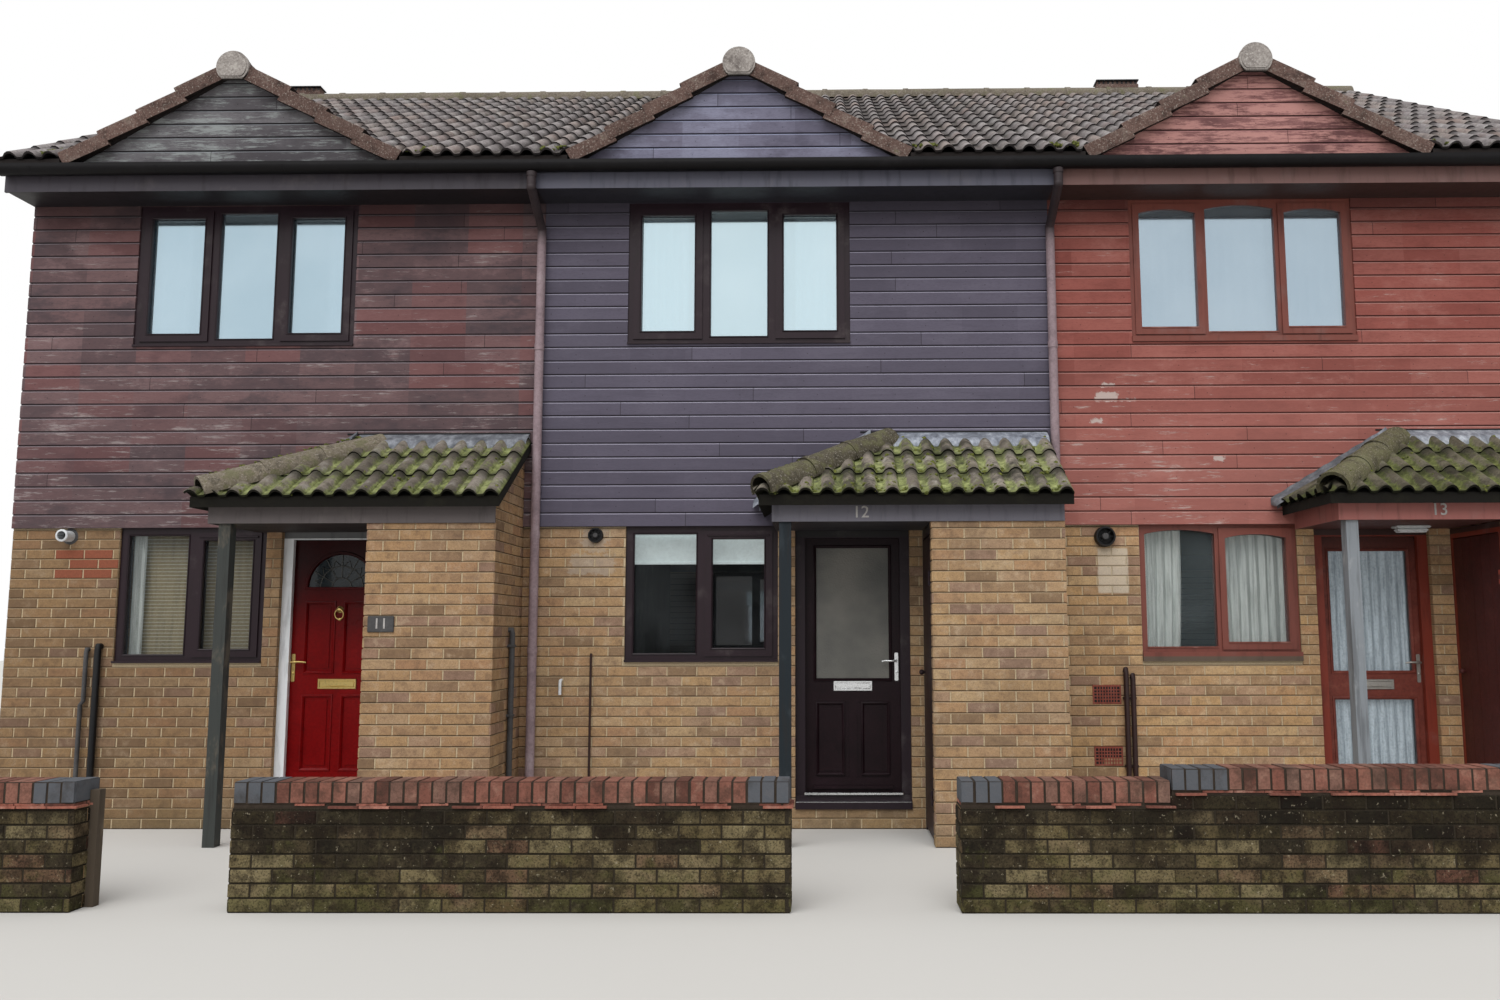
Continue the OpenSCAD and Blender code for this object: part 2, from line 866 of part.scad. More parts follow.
module stores() {
    color(brick_yellow) at_front() each_house() {
        block([store_x[$house], -store_d, 0],
            [store_end($house), store_front, porch_z + porch_fascia_h]);
        along_x(store_end($house) - half_brick, store_end($house))
            polygon([[store_front, 0], [0, 0], [0, brick_top - board_drip - seat_gap],
                [board_y, brick_top - board_drip - seat_gap],
                [board_y, porch_under(board_y) - seat_gap],
                [store_front, porch_under(store_front) - seat_gap]]);
    }
}

store_knob_z = 1157;

// Boarded store door with its knob, closed, on the left side of the store
module store_door() {
    x = store_x[$house];
    y0 = store_front + store_jamb + leaf_gap;
    y1 = -store_jamb - leaf_gap;
    n = 5;
    w = (y1 - y0) / n;
    for (k = [0 : n - 1])
        block([x, y0 + k * w + (k > 0 ? 1.5 : 0), leaf_gap + 20],
            [x + 18, y0 + (k + 1) * w - (k < n - 1 ? 1.5 : 0), store_door_h]);
    block([x + 17, y0, leaf_gap + 20], [x + store_leaf_t, y1, store_door_h]);
    at_store_hinges() hinge_moving();
    translate([x + 1, y1 - 60, store_knob_z]) rotate([0, -90, 0]) cylinder(r = 9, h = 22);
    translate([x - 26, y1 - 60, store_knob_z]) sphere(r = 20, $fn = 32);
}

module store_door_1() {
    color("#4a2028") at_front() in_house(0) store_door();
}

module store_door_2() {
    color(rosewood) at_front() in_house(1) store_door();
}

module store_door_3() {
    color("#5a2426") at_front() in_house(2) store_door();
}

// Outline in [distance from the wall, z] of the porch tiling, solid down to its foot
module porch_outline(drop, n, step) {
    polygon(concat([[-porch_run, porch_eaves - porch_v - far]],
        [for (p = stepped([-porch_run, porch_eaves], [0, porch_top], n, step)) [p[0], p[1] - drop]],
        [[1, porch_top - drop], [1, porch_eaves - porch_v - far]]));
}

// Solid under the porch's front slope and its hipped left end
module porch_solid(drop, n, step) {
    left = porch_left($house);
    right = porch_right($house);
    intersection() {
        along_x(left - 1, right) porch_outline(drop, n, step);
        union() {
            along_y(-porch_run - 1, 0) intersection() {
                translate([left + porch_run, 0]) porch_outline(drop, n, step);
                translate([left, 0]) square([porch_run, far]);
            }
            block([left + porch_run, -porch_run - 1, 0], [right, 0, far]);
        }
        block([left, -porch_run, porch_eaves - porch_v], [right, board_y, porch_top + 1]);
    }
}

// Everything under the tiling of a porch
module porch_void() {
    left = porch_left($house);
    right = porch_right($house);
    more = far / 10;
    translate([0, 0, -porch_v]) intersection() {
        along_x(left - far, right + 1) polygon([
            [-porch_run - more, porch_eaves - more * porch_tan], [1, porch_top + porch_tan],
            [1, 0], [-porch_run - more, 0]]);
        along_y(-porch_run - more, 1) polygon([
            [left - more, porch_eaves - more * porch_tan], [left + porch_run, porch_top],
            [right + 1, porch_top + 1], [right + 1, 0], [left - more, 0]]);
    }
}

module porch_roofs() {
    color(tile_moss) at_front() each_house() difference() {
        porch_solid(0, porch_courses, course_step);
        porch_void();
    }
}

hip_tilt = atan(porch_tan / sqrt(2));
hip_run = porch_run * sqrt(2);
hip_len = sqrt(hip_run * hip_run + pow(porch_top - porch_eaves, 2));
hip_tiles = 3;
hip_lap = 45;

// Half-round tiles up the hip, each lapping over the one below and the last run to the wall
module porch_hip() {
    left = porch_left($house);
    right = porch_right($house);
    foot = hip_r * 0.7;
    step = (hip_len - foot) / hip_tiles;
    difference() {
        translate([left, -porch_run, porch_eaves])
            rotate([0, 0, 45]) rotate([0, -hip_tilt, 0])
                for (k = [0 : hip_tiles - 1])
                    translate([foot + k * step - (k > 0 ? hip_lap : 0), 0, 0])
                        rotate([0, 90, 0]) difference() {
                            cylinder(r = hip_r + 5 * (k % 2),
                                h = step + (k > 0 ? hip_lap : 0) + (k == hip_tiles - 1 ? 2 * hip_r : 0));
                            translate([0, 0, -1]) cylinder(r = hip_r - ridge_t, h = hip_len);
                        }
        porch_solid(0, 1, 0);
        block([left - 400, board_y - lead_t - seat_gap, 0], [right, 400, far]);
        translate([0, 0, porch_eaves - 30 - far])
            block([left - 400, -porch_run - 400, 0], [right, 400, far]);
    }
}

module porch_hips() {
    color(tile_grey) at_front() each_house() porch_hip();
}

module porch_fascias() {
    color_of = [dark_fascia, dark_fascia, "#7c4a45"];
    at_front() each_house() color(color_of[$house]) {
        z1 = porch_z + porch_fascia_h;
        left = porch_x[$house];
        block([left, -store_d - fascia_t, porch_z], [store_end($house), -store_d, z1]);
        block([left, -store_d - 1, porch_z], [left + fascia_t, board_y, z1]);
        block([left + fascia_t - 1, -store_d - 1, porch_z + 4],
            [store_x[$house], 0, porch_z + 4 + soffit_t]);
    }
}

// Square posts of the porches, and the thin post where the left garden wall ends
module porch_posts() {
    at_front() {
        each_house() color(["#3f4743", "#2f3a42", "#8d8a86"][$house])
            block([post_x, -store_d, 0], [post_x + post_w, -store_d + post_w, porch_z + 4]);
        color("#8d8a86") in_house(0)
            block([gates[0][0], -garden_out + garden_t * 0.6, 0],
                [gates[0][0] + 50, -garden_out + garden_t * 0.6 + 55, garden_h + 80]);
    }
}

lead_t = 4;
lead_h = 62;

// Lead over the porch tiles: a level strip and one down the hipped end
module flashings() {
    color("#8f9499") at_front() each_house() {
        left = porch_left($house);
        x_end = porch_right($house) - 12;
        x_peak = left + porch_run + board_y;
        z = porch_at(board_y);
        along_y(board_y - lead_t, board_y) polygon([
            [left - 40, porch_eaves - 40 * porch_tan], [x_peak, z], [x_end, z],
            [x_end, z + lead_h - 18], [x_peak, z + lead_h],
            [left - 40, porch_eaves - 40 * porch_tan + lead_h]]);
    }
}

// Profile of one slope of the main roof in [y, z]
module roof_profile() {
    polygon(concat([[-eaves_out, tile_z - tile_v]],
        stepped([-eaves_out, tile_z], [house_d / 2, ridge_z], courses, course_step),
        [[house_d / 2, ridge_z - roof_v], [-fascia_out + fascia_t, roof_at(-fascia_out + fascia_t) - roof_v],
         [-fascia_out + fascia_t, roof_at(-fascia_out + fascia_t) - tile_v]]));
}

module roof_slope() {
    along_x(-row_w / 2 - verge_out, row_w / 2 + verge_out) roof_profile();
}

// Outline in [x, z] of all that lies under a gablet's slopes, raised by more
module under_gablet(more) {
    polygon([
        [-gablet_half, tile_z + more], [0, gablet_top + more], [gablet_half, tile_z + more],
        [gablet_half, tile_z - far / 10], [-gablet_half, tile_z - far / 10]]);
}

// Everything under a gablet's tiled faces, from the eaves back into the roof
module gablet_envelope() {
    translate([gablet_x[$house], 0, 0]) {
        along_y(-eaves_out - 1, gablet_run) under_gablet(0);
        along_y(-eaves_out - 1, -eaves_out + verge_t) under_gablet(verge_step + 1);
    }
}

module roof_front() {
    color(tile_grey) at_front() difference() {
        roof_slope();
        each_house() gablet_envelope();
    }
}

module roof_rear() {
    color(tile_grey) at_rear() roof_slope();
}

// Half-round ridge tiles bedded on both slopes, with two box-shaped flue outlets as
// [house, place from its plan origin]
// Ridge outlets as [house, share of the house's width from its left party line], and their length
flues = [[0, 0.0754], [2, 0.3847]];
flue_l = 0.119 * house_w;

function flue_x(f) = left_line + f[1] * house_w;

module ridge() {
    color(tile_grey) at_front() {
        difference() {
            along_x(-row_w / 2 - verge_out, row_w / 2 + verge_out)
                translate([house_d / 2, ridge_z - 28]) difference() {
                    circle(ridge_r);
                    circle(ridge_r - ridge_t);
                }
            along_x(-row_w / 2 - verge_out - 1, row_w / 2 + verge_out + 1)
                polygon([[house_d / 2 - ridge_run / courses, ridge_z - ridge_run / courses * roof_tan],
                    [house_d / 2, ridge_z - course_step],
                    [house_d / 2 + ridge_run / courses, ridge_z - ridge_run / courses * roof_tan],
                    [house_d / 2, 0]]);
        }
        for (f = flues) in_house(f[0])
            block([flue_x(f) - flue_l / 2, house_d / 2 - 70, ridge_z + ridge_r - 45],
                [flue_x(f) + flue_l / 2, house_d / 2 + 70, ridge_z + ridge_r + 50]);
    }
}

gablet_t = tile_t + 25;
gablet_v = gablet_t / cos(gablet_pitch);
board_foot = soffit_z + 100;
face_low = roof_at(-fascia_out) - tile_v;
face_top = gablet_top - gablet_v - seat_gap;
face_half = (face_top - face_low) / gablet_tan;

// Boards of the gablets, trimmed to the underside of the verges
module gablet_faces() {
    at_front() each_house() color([boards_red_brown, boards_purple, boards_red][$house])
        translate([gablet_x[$house], 0, 0]) intersection() {
            translate([0, -fascia_out + gablet_in + board_t, 0])
                along_x(-face_half, face_half) board_outline(board_foot, gablet_top);
            along_y(-far, far) polygon([
                [-face_half, board_foot], [-face_half, face_low], [0, face_top],
                [face_half, face_low], [face_half, board_foot]]);
        }
}

// Two tiled slopes of each gablet, mitred into the main roof's valleys
module gablet_roofs() {
    color(tile_grey) at_front() each_house() translate([gablet_x[$house], 0, 0]) difference() {
        intersection() {
            along_y(-eaves_out + verge_t, gablet_run) polygon([
                [-gablet_half, tile_z], [0, gablet_top], [gablet_half, tile_z],
                [gablet_half, tile_z - gablet_v], [0, gablet_top - gablet_v],
                [-gablet_half, tile_z - gablet_v]]);
            along_x(-gablet_half, gablet_half) polygon([
                [-eaves_out, tile_z - tile_v], [-eaves_out, gablet_top + 1],
                [gablet_run, gablet_top + 1], [gablet_run, roof_at(gablet_run) - tile_v]]);
        }
        block([-gablet_half, -fascia_out, 0],
            [gablet_half, -fascia_out + fascia_t, face_low + seat_gap]);
    }
}

verge_n = 4;
verge_step = 30;
verge_v = verge_h / cos(gablet_pitch);
verge_foot = 150;
block_drop = 66;
block_flat = 97;

// One side of the verge: a band up the slope with stepped tiles and a level foot
module verge_outline() {
    low = tile_z - tile_v + 4;
    inner = gablet_half - verge_foot;
    intersection() {
        polygon(concat(
            [[0, gablet_top - verge_v], [0, gablet_top + 4]],
            [for (k = [verge_n - 1 : -1 : 0], end = [1, 0])
                let (x = gablet_half * (1 - (k + end) / verge_n))
                [x, gablet_top - x * gablet_tan + (end == 0 ? verge_step : 0)]],
            [[gablet_half, low], [inner, low], [inner, gablet_top - inner * gablet_tan - verge_v]]));
        translate([0, low]) square([gablet_half, far]);
    }
}

// Stepped verge tiles along the gablet's edges, block ends and ridge tiles
module gablet_ridges() {
    color(tile_grey) at_front() each_house() translate([gablet_x[$house], 0, 0]) {
        along_y(-eaves_out, -eaves_out + verge_t)
            for (m = [0, 1]) mirror([m, 0]) verge_outline();
        difference() {
            along_y(-eaves_out - 6, gablet_run - eaves_out + 60)
                translate([0, gablet_top - block_drop])
                    difference() {
                        circle(block_r);
                        circle(block_r - ridge_t);
                    }
            along_y(-far, far) polygon([[-gablet_half, tile_z + seat_gap],
                [0, gablet_top + seat_gap], [gablet_half, tile_z + seat_gap], [0, 0]]);
            along_x(-gablet_half, gablet_half) polygon([
                [-eaves_out - 300, tile_z - 300 * roof_tan + seat_gap],
                [house_d / 2, ridge_z + seat_gap], [house_d / 2, 0], [-eaves_out - 300, 0]]);
        }
        along_y(-eaves_out - 12, -eaves_out) translate([0, gablet_top - block_drop]) difference() {
            circle(block_r);
            translate([-block_r, -2 * block_r - block_flat]) square(2 * block_r);
        }
    }
}

// Fascia and soffit in one angle along the eaves, with a plate closing each end
module eaves_angle() {
    along_x(-row_w / 2, row_w / 2) polygon([
        [-fascia_out, soffit_z - fascia_drop], [-fascia_out, face_low],
        [-fascia_out + fascia_t, face_low], [-fascia_out + fascia_t, soffit_z + soffit_t],
        [0, soffit_z + soffit_t], [0, soffit_z], [-fascia_out + fascia_t, soffit_z],
        [-fascia_out + fascia_t, soffit_z - fascia_drop]]);
    for (x = [-row_w / 2, row_w / 2 - soffit_t])
        along_x(x, x + soffit_t) polygon([[1 - fascia_out, soffit_z], [0, soffit_z],
            [0, roof_at(0) - roof_v - seat_gap],
            [fascia_t - fascia_out, roof_at(fascia_t - fascia_out) - roof_v - seat_gap],
            [fascia_t - fascia_out, face_low - 1], [1 - fascia_out, face_low - 1]]);
}

module eaves_boards() {
    color(dark_fascia) {
        at_front() eaves_angle();
        at_rear() eaves_angle();
    }
}

gutter_y = -fascia_out - gutter_w / 2 - 1;
gutter_top = tile_z - tile_v - 2;
pipe_y = -board_t - pipe_d / 2 - 6;

module gutter_shape(inset) {
    r = gutter_w / 2 - inset;
    translate([gutter_y, gutter_top - gutter_h + gutter_w / 2]) circle(r);
    translate([gutter_y - r, gutter_top - gutter_h + gutter_w / 2]) square([2 * r, far / 100]);
}

module gutter() {
    difference() {
        along_x(-row_w / 2, row_w / 2) intersection() {
            gutter_shape(0);
            translate([gutter_y - gutter_w, gutter_top - gutter_h]) square([2 * gutter_w, gutter_h]);
        }
        along_x(-row_w / 2 + gutter_t, row_w / 2 - gutter_t) gutter_shape(gutter_t);
    }
}

module gutters() {
    color("#33292e") {
        at_front() gutter();
        at_rear() gutter();
    }
}

socket = 4;

// Downpipe on a party line: outlet, swan neck, pipe down the wall and its clips
module downpipe(foot_z, clips) {
    outlet_z = gutter_top - gutter_h - 0.5;
    bend_z = min(outlet_z - 70, soffit_z - fascia_drop - pipe_d / 6);
    wall_z = bend_z - (pipe_y - gutter_y) * 0.55;
    run = pipe_y - gutter_y;
    neck = norm([run, bend_z - wall_z]);
    translate([0, gutter_y, bend_z]) cylinder(d = pipe_d, h = outlet_z - bend_z);
    translate([0, gutter_y, outlet_z - 34]) cylinder(d = pipe_d + 2 * socket, h = 34);
    for (p = [[gutter_y, bend_z], [pipe_y, wall_z]])
        translate([0, p[0], p[1]]) sphere(d = pipe_d + socket);
    translate([0, gutter_y, bend_z]) rotate([-90 - atan((bend_z - wall_z) / run), 0, 0])
        cylinder(d = pipe_d, h = neck);
    translate([0, pipe_y, foot_z]) cylinder(d = pipe_d, h = wall_z - foot_z);
    for (z = clips)
        translate([0, pipe_y, z]) {
            cylinder(d = pipe_d + 2 * socket, h = 50);
            block([-14, 0, 8], [14, -board_t - pipe_y, 42]);
        }
}

pipe_xs = [-house_w / 2 - 17, house_w / 2 + 8];
low_clip = 1080;
high_clip = 930;
pipe_clips = [floor_z + low_clip, brick_top - 100, first_z + high_clip];

module downpipes() {
    color("#6d4f58") for (x = pipe_xs) {
        at_front() translate([x, 0, 0]) downpipe(40, pipe_clips);
        at_rear() translate([x, 0, 0]) downpipe(40, pipe_clips);
    }
}

// Place on the pier between the party line and the ground floor window, as a share of its width
function pier_x(i, share) = left_line + share * (lower_x[i] - left_line);

// Round terminals as [house, share of the pier, z, radius, reach]
terminals = [[0, 0.454, 2200, 42, 105], [1, 0.654, 2195, 58, 24], [2, 0.584, 2172, 78, 60]];

// Air bricks as [house, share of the pier, z], and half their width and height
air_bricks = [[2, 0.561, 985], [2, 0.561, 530]];
air_brick_r = 107;
air_brick_h = 70;

module wall_fittings() {
    color("#4b4543") at_front() {
        for (t = terminals) in_house(t[0])
            translate([pier_x(t[0], t[1]), 0, t[2]]) rotate([90, 0, 0]) cylinder(r = t[3], h = t[4]);
        for (b = air_bricks) in_house(b[0]) translate([pier_x(b[0], b[1]), 0, b[2]])
            block([-air_brick_r, -8, -air_brick_h], [air_brick_r, 0, air_brick_h]);
    }
}

// How far past the party line the garden wall steps up
garden_step_x = 47;

// Runs of garden wall as [left end, right end, steps up]
garden_runs = [
    [-row_w / 2, house_at(0) + gates[0][0], 0],
    [house_at(0) + gates[0][1], house_at(1) + gates[1][0], 0],
    [house_at(1) + gates[1][1], house_w / 2 + garden_step_x, 0],
    [house_w / 2 + garden_step_x, house_at(2) + gates[2][0], 1],
    [house_at(2) + gates[2][1], row_w / 2, 1]];

module garden_wall() {
    color("#6f6247") at_front() for (r = garden_runs)
        block([r[0], -garden_out, 0], [r[1], garden_t - garden_out, garden_h + r[2] * garden_step]);
}

module garden_coping() {
    color("#9a4f3c") at_front() for (r = garden_runs) {
        z = garden_h + r[2] * garden_step;
        block([r[0], -garden_out - creasing_out, z],
            [r[1], garden_t - garden_out + creasing_out, z + creasing_t]);
        block([r[0], -garden_out, z + creasing_t - 1],
            [r[1], garden_t - garden_out, z + creasing_t + coping_h]);
    }
}

party_walls();
front_brick();
door_plinths();
front_upper_wall();
cladding_1();
cladding_2();
cladding_3();
rear_brick();
rear_upper_wall();
rear_cladding();
ground_floor();
first_floor();
lower_windows();
upper_windows();
lower_glass();
upper_glass();
rear_windows();
rear_glass();
rear_doors();
door_frames();
front_door_1();
front_door_2();
front_door_3();
door_glass_1();
door_glass_2();
door_glass_3();
door_fittings_1();
door_fittings_2();
door_fittings_3();
stores();
store_door_1();
store_door_2();
store_door_3();
porch_roofs();
porch_hips();
porch_fascias();
porch_posts();
flashings();
roof_front();
roof_rear();
ridge();
gablet_faces();
gablet_roofs();
gablet_ridges();
eaves_boards();
gutters();
downpipes();
wall_fittings();
garden_wall();
garden_coping();
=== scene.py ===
import math
import random

import bmesh
import bpy
from mathutils import Matrix, Vector, noise

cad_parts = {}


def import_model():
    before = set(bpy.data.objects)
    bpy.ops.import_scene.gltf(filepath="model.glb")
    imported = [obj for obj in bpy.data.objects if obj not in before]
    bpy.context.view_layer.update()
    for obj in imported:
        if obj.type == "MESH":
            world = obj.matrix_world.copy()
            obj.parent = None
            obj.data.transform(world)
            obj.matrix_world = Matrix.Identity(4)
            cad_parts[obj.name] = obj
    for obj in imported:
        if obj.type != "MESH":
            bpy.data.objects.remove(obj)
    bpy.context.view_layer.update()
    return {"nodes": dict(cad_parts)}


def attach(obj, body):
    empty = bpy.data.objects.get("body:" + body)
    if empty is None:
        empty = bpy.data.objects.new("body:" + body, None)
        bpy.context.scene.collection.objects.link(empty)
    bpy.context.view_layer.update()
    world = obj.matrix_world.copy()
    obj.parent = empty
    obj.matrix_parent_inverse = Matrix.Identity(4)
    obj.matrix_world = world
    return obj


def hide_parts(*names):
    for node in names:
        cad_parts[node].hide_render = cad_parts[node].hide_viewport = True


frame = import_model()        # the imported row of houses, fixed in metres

NODES = frame["nodes"]
scene = bpy.context.scene

# Sizes, in metres.
HOUSE_AT = (-3.945, 0.0, 3.945)          # plan origin of each house, beside its door
PARTY_X = HOUSE_AT[2] / 2                # party lines of the middle house, at plus and minus this
FRONT, REAR = -3.6, 3.6                  # outer faces of the long walls
ROW_END = 6.0425
BRICK_TOP, SOFFIT = 2.262, 4.822
ABOVE = 3.0                              # a height over every opening of the ground floor
NUMBER_X, NUMBER_Z = 1.070, 1.517        # middle of the number plate of house 1
BED, STRETCHER, JOINT = 0.075, 0.225, 0.010
LOWER_X, LOWER_W = (-1.264, -1.307, -1.335), (1.136, 1.166, 1.195)
LOWER_Z, LOWER_TOP = 1.232, 2.2697
GABLET_X = (-0.357, -0.424, -0.452)
UPPER_W, UPPER_Z = 1.735, 3.6837
DOOR_X, DOOR_W, PLINTH = -0.010, 0.872, 0.144
LEAF_X, LEAF_W, LEAF_Z, LEAF_TOP, LEAF_Y = 0.0575, 0.737, 0.2535, 2.1782, -3.514
FAN_Z, FAN_R = 1.552, 0.262              # foot over the leaf's, and radius, of the half-round light
STORE_X, STORE_W, STORE_D = (0.949, 0.962, 1.020), (0.901, 0.925, 0.905), 0.778
EAVES_Y, EAVES_Z, PITCH, EXPOSURE = -4.03, 5.05, math.radians(30), 0.3324
RIDGE_Z = EAVES_Z - EAVES_Y * math.tan(PITCH)
GABLET_HALF, GABLET_PITCH = 1.3, math.radians(31)
GABLET_TOP = EAVES_Z + GABLET_HALF * math.tan(GABLET_PITCH)
GABLET_RUN = (GABLET_TOP - EAVES_Z) / math.tan(PITCH)
PORCH_X, PORCH_OUT, PORCH_RUN = (-0.175, -0.155, -0.160), 0.088, 0.886
PORCH_Z, PORCH_PITCH, PORCH_VERGE = 2.4, math.radians(31), 0.05
GATES = ((0.179, 1.020), (0.021, 0.917), (0.021, 0.889))
GARDEN_Y, GARDEN_T, GARDEN_H, GARDEN_STEP = -6.26, 0.215, 0.535, 0.065
COURSE_DROP = 0.013
TILE_W, ROLL_H, VERGE_OUT = 0.3, 0.045, 0.03
BOARD_PITCH = 0.108
BOARD_FACE = -3.6335                     # where tiles and lead meet the face of the boarding
# Pale patch on the brickwork of house 3: x0, x1, z0, z1, and how ragged its edge is.
PALE_PATCH = (2.290, 2.520, 1.745, 2.085, 0.01)


# Shader maths.
def wired(tree, kind, inputs=(), **settings):
    """A new node with its settings, and its inputs set or linked."""
    made = tree.nodes.new(kind)
    for key, value in settings.items():
        setattr(made, key, value)
    for key, value in inputs.items() if isinstance(inputs, dict) else enumerate(inputs):
        if isinstance(value, bpy.types.NodeSocket):
            tree.links.new(value, made.inputs[key])
        else:
            made.inputs[key].default_value = value
    return made


class Value:
    """A shader value that adds Math nodes where it is used in an expression."""

    def __init__(self, finish, socket):
        self.finish, self.socket = finish, socket

    def math(self, operation, *others):
        return self.finish.node("ShaderNodeMath", [self, *others], operation=operation)

    def __add__(self, other):
        return self.math("ADD", other)

    def __sub__(self, other):
        return self.math("SUBTRACT", other)

    def __rsub__(self, other):
        return self.finish.node("ShaderNodeMath", [other, self], operation="SUBTRACT")

    def __mul__(self, other):
        return self.math("MULTIPLY", other)

    def __truediv__(self, other):
        return self.math("DIVIDE", other)

    def __mod__(self, other):
        return self.math("FLOORED_MODULO", other)

    def __gt__(self, other):
        return self.math("GREATER_THAN", other)

    def __lt__(self, other):
        return self.math("LESS_THAN", other)

    def floor(self):
        return self.math("FLOOR")

    def size(self):
        return self.math("ABSOLUTE")

    def above(self, low, high):
        """0 below low, 1 above high, smooth between."""
        return self.finish.node("ShaderNodeMapRange", [self, low, high, 0.0, 1.0],
                                interpolation_type="SMOOTHSTEP")


def tint(code):
    """Linear colour of a written sRGB colour."""
    parts = [int(code[i:i + 2], 16) / 255 for i in (1, 3, 5)]
    return tuple(c / 12.92 if c <= 0.04045 else ((c + 0.055) / 1.055) ** 2.4 for c in parts) + (1.0,)


class Finish:
    """A material: nodes come from node(), and the varying inputs are set with use()."""

    def __init__(self, name, colour="#808080", rough=0.8, metal=0.0, shine=0.25):
        self.material = bpy.data.materials.new(name)
        self.material.use_nodes = True
        self.tree = self.material.node_tree
        self.shader = self.tree.nodes["Principled BSDF"]
        self.set("Base Color", tint(colour))
        self.set("Roughness", rough)
        self.set("Metallic", metal)
        self.set("Specular IOR Level", shine)
        self.point = self.node("ShaderNodeTexCoord", out=3)
        self.x, self.y, self.z = (self.node("ShaderNodeSeparateXYZ", [self.point], out=k) for k in range(3))

    def set(self, key, value):
        self.shader.inputs[key].default_value = value

    def use(self, key, value):
        self.tree.links.new(value.socket, self.shader.inputs[key])

    def node(self, kind, values=(), out=0, stops=None, **settings):
        """One output of a new node, whose inputs may be values of this finish."""
        pairs = values.items() if isinstance(values, dict) else enumerate(values)
        inputs = {key: v.socket if isinstance(v, Value) else v for key, v in pairs}
        made = wired(self.tree, kind, inputs, **settings)
        if stops:
            ramp = made.color_ramp
            while len(ramp.elements) < len(stops):
                ramp.elements.new(0.5)
            for element, (place, colour) in zip(ramp.elements, stops):
                element.position, element.color = place, tint(colour)
        return Value(self, made.outputs[out])

    def stretched(self, x, y, z):
        return self.node("ShaderNodeVectorMath", [self.point, (x, y, z)], operation="MULTIPLY")

    def noise(self, scale, detail=3.0, rough=0.55, at=None):
        return self.node("ShaderNodeTexNoise", {"Vector": at or self.point, "Scale": scale,
                                                "Detail": detail, "Roughness": rough})

    def random(self, value):
        return self.node("ShaderNodeTexWhiteNoise", {"W": value}, noise_dimensions="1D")

    def tone(self, name="tone"):
        return self.node("ShaderNodeAttribute", attribute_name=name, out=2)

    def facing(self, axis):
        """The part of the face's normal along X, Y or Z."""
        normal = self.node("ShaderNodeNewGeometry", out=1)
        return self.node("ShaderNodeSeparateXYZ", [normal], out=axis)

    def ramp(self, value, *stops):
        return self.node("ShaderNodeValToRGB", [value], stops=stops)

    def mix(self, share, a, b, kind="MIX"):
        a, b = (tint(c) if isinstance(c, str) else (*c, 1.0) if isinstance(c, tuple) else c for c in (a, b))
        return self.node("ShaderNodeMix", {0: share, 6: a, 7: b}, out=2, data_type="RGBA", blend_type=kind)

    def times(self, colour, factors):
        """A colour with its channels scaled."""
        return self.mix(1.0, colour, factors, "MULTIPLY")

    def by_house(self, first, second, third):
        """The first, second or third colour, by the house along the row."""
        right = self.mix(self.x > PARTY_X, second, third)
        return self.mix(self.x < -PARTY_X, right, first)

    def value_by_house(self, first, second, third):
        """A plain number for each house."""
        return (self.x > -PARTY_X) * (second - first) + (self.x > PARTY_X) * (third - second) + first

    def within(self, x0, x1, z0, z1, rag):
        """1 inside a rectangle of the wall with ragged edges."""
        stray = (self.noise(24.0, 5.0, 0.7) - 0.5) * (rag * 2.0)
        x, z = self.x + stray, self.z + stray * 0.6
        soft = 0.008
        inside = x.above(x0 - soft, x0 + soft) * x.above(x1 + soft, x1 - soft)
        return inside * z.above(z0 - soft, z0 + soft) * z.above(z1 + soft, z1 - soft)

    def glow(self, colour, strength):
        """Painted light: the colour glows, standing in for daylight that a thin cloth lets through."""
        self.use("Emission Color", colour)
        self.set("Emission Strength", strength)

    def bump(self, height, depth, strength=1.0):
        made = self.node("ShaderNodeBump", {"Strength": strength, "Distance": depth, "Height": height})
        self.use("Normal", made)


def weathered(finish, colour, dark, pale, scale=9.0, fine=70.0, amount=0.5, broad=None):
    """Blotches in two sizes over a colour, and the fine value that made the small ones."""
    broad = broad or finish.noise(scale, 5.0, 0.62)
    small = finish.noise(fine, 4.0, 0.65)
    first = finish.mix(broad.above(0.52, 0.72) * amount, colour, pale)
    second = finish.mix(broad.above(0.50, 0.30) * amount, first, dark)
    return finish.mix(small.above(0.42, 0.62) * 0.28, second, dark), small


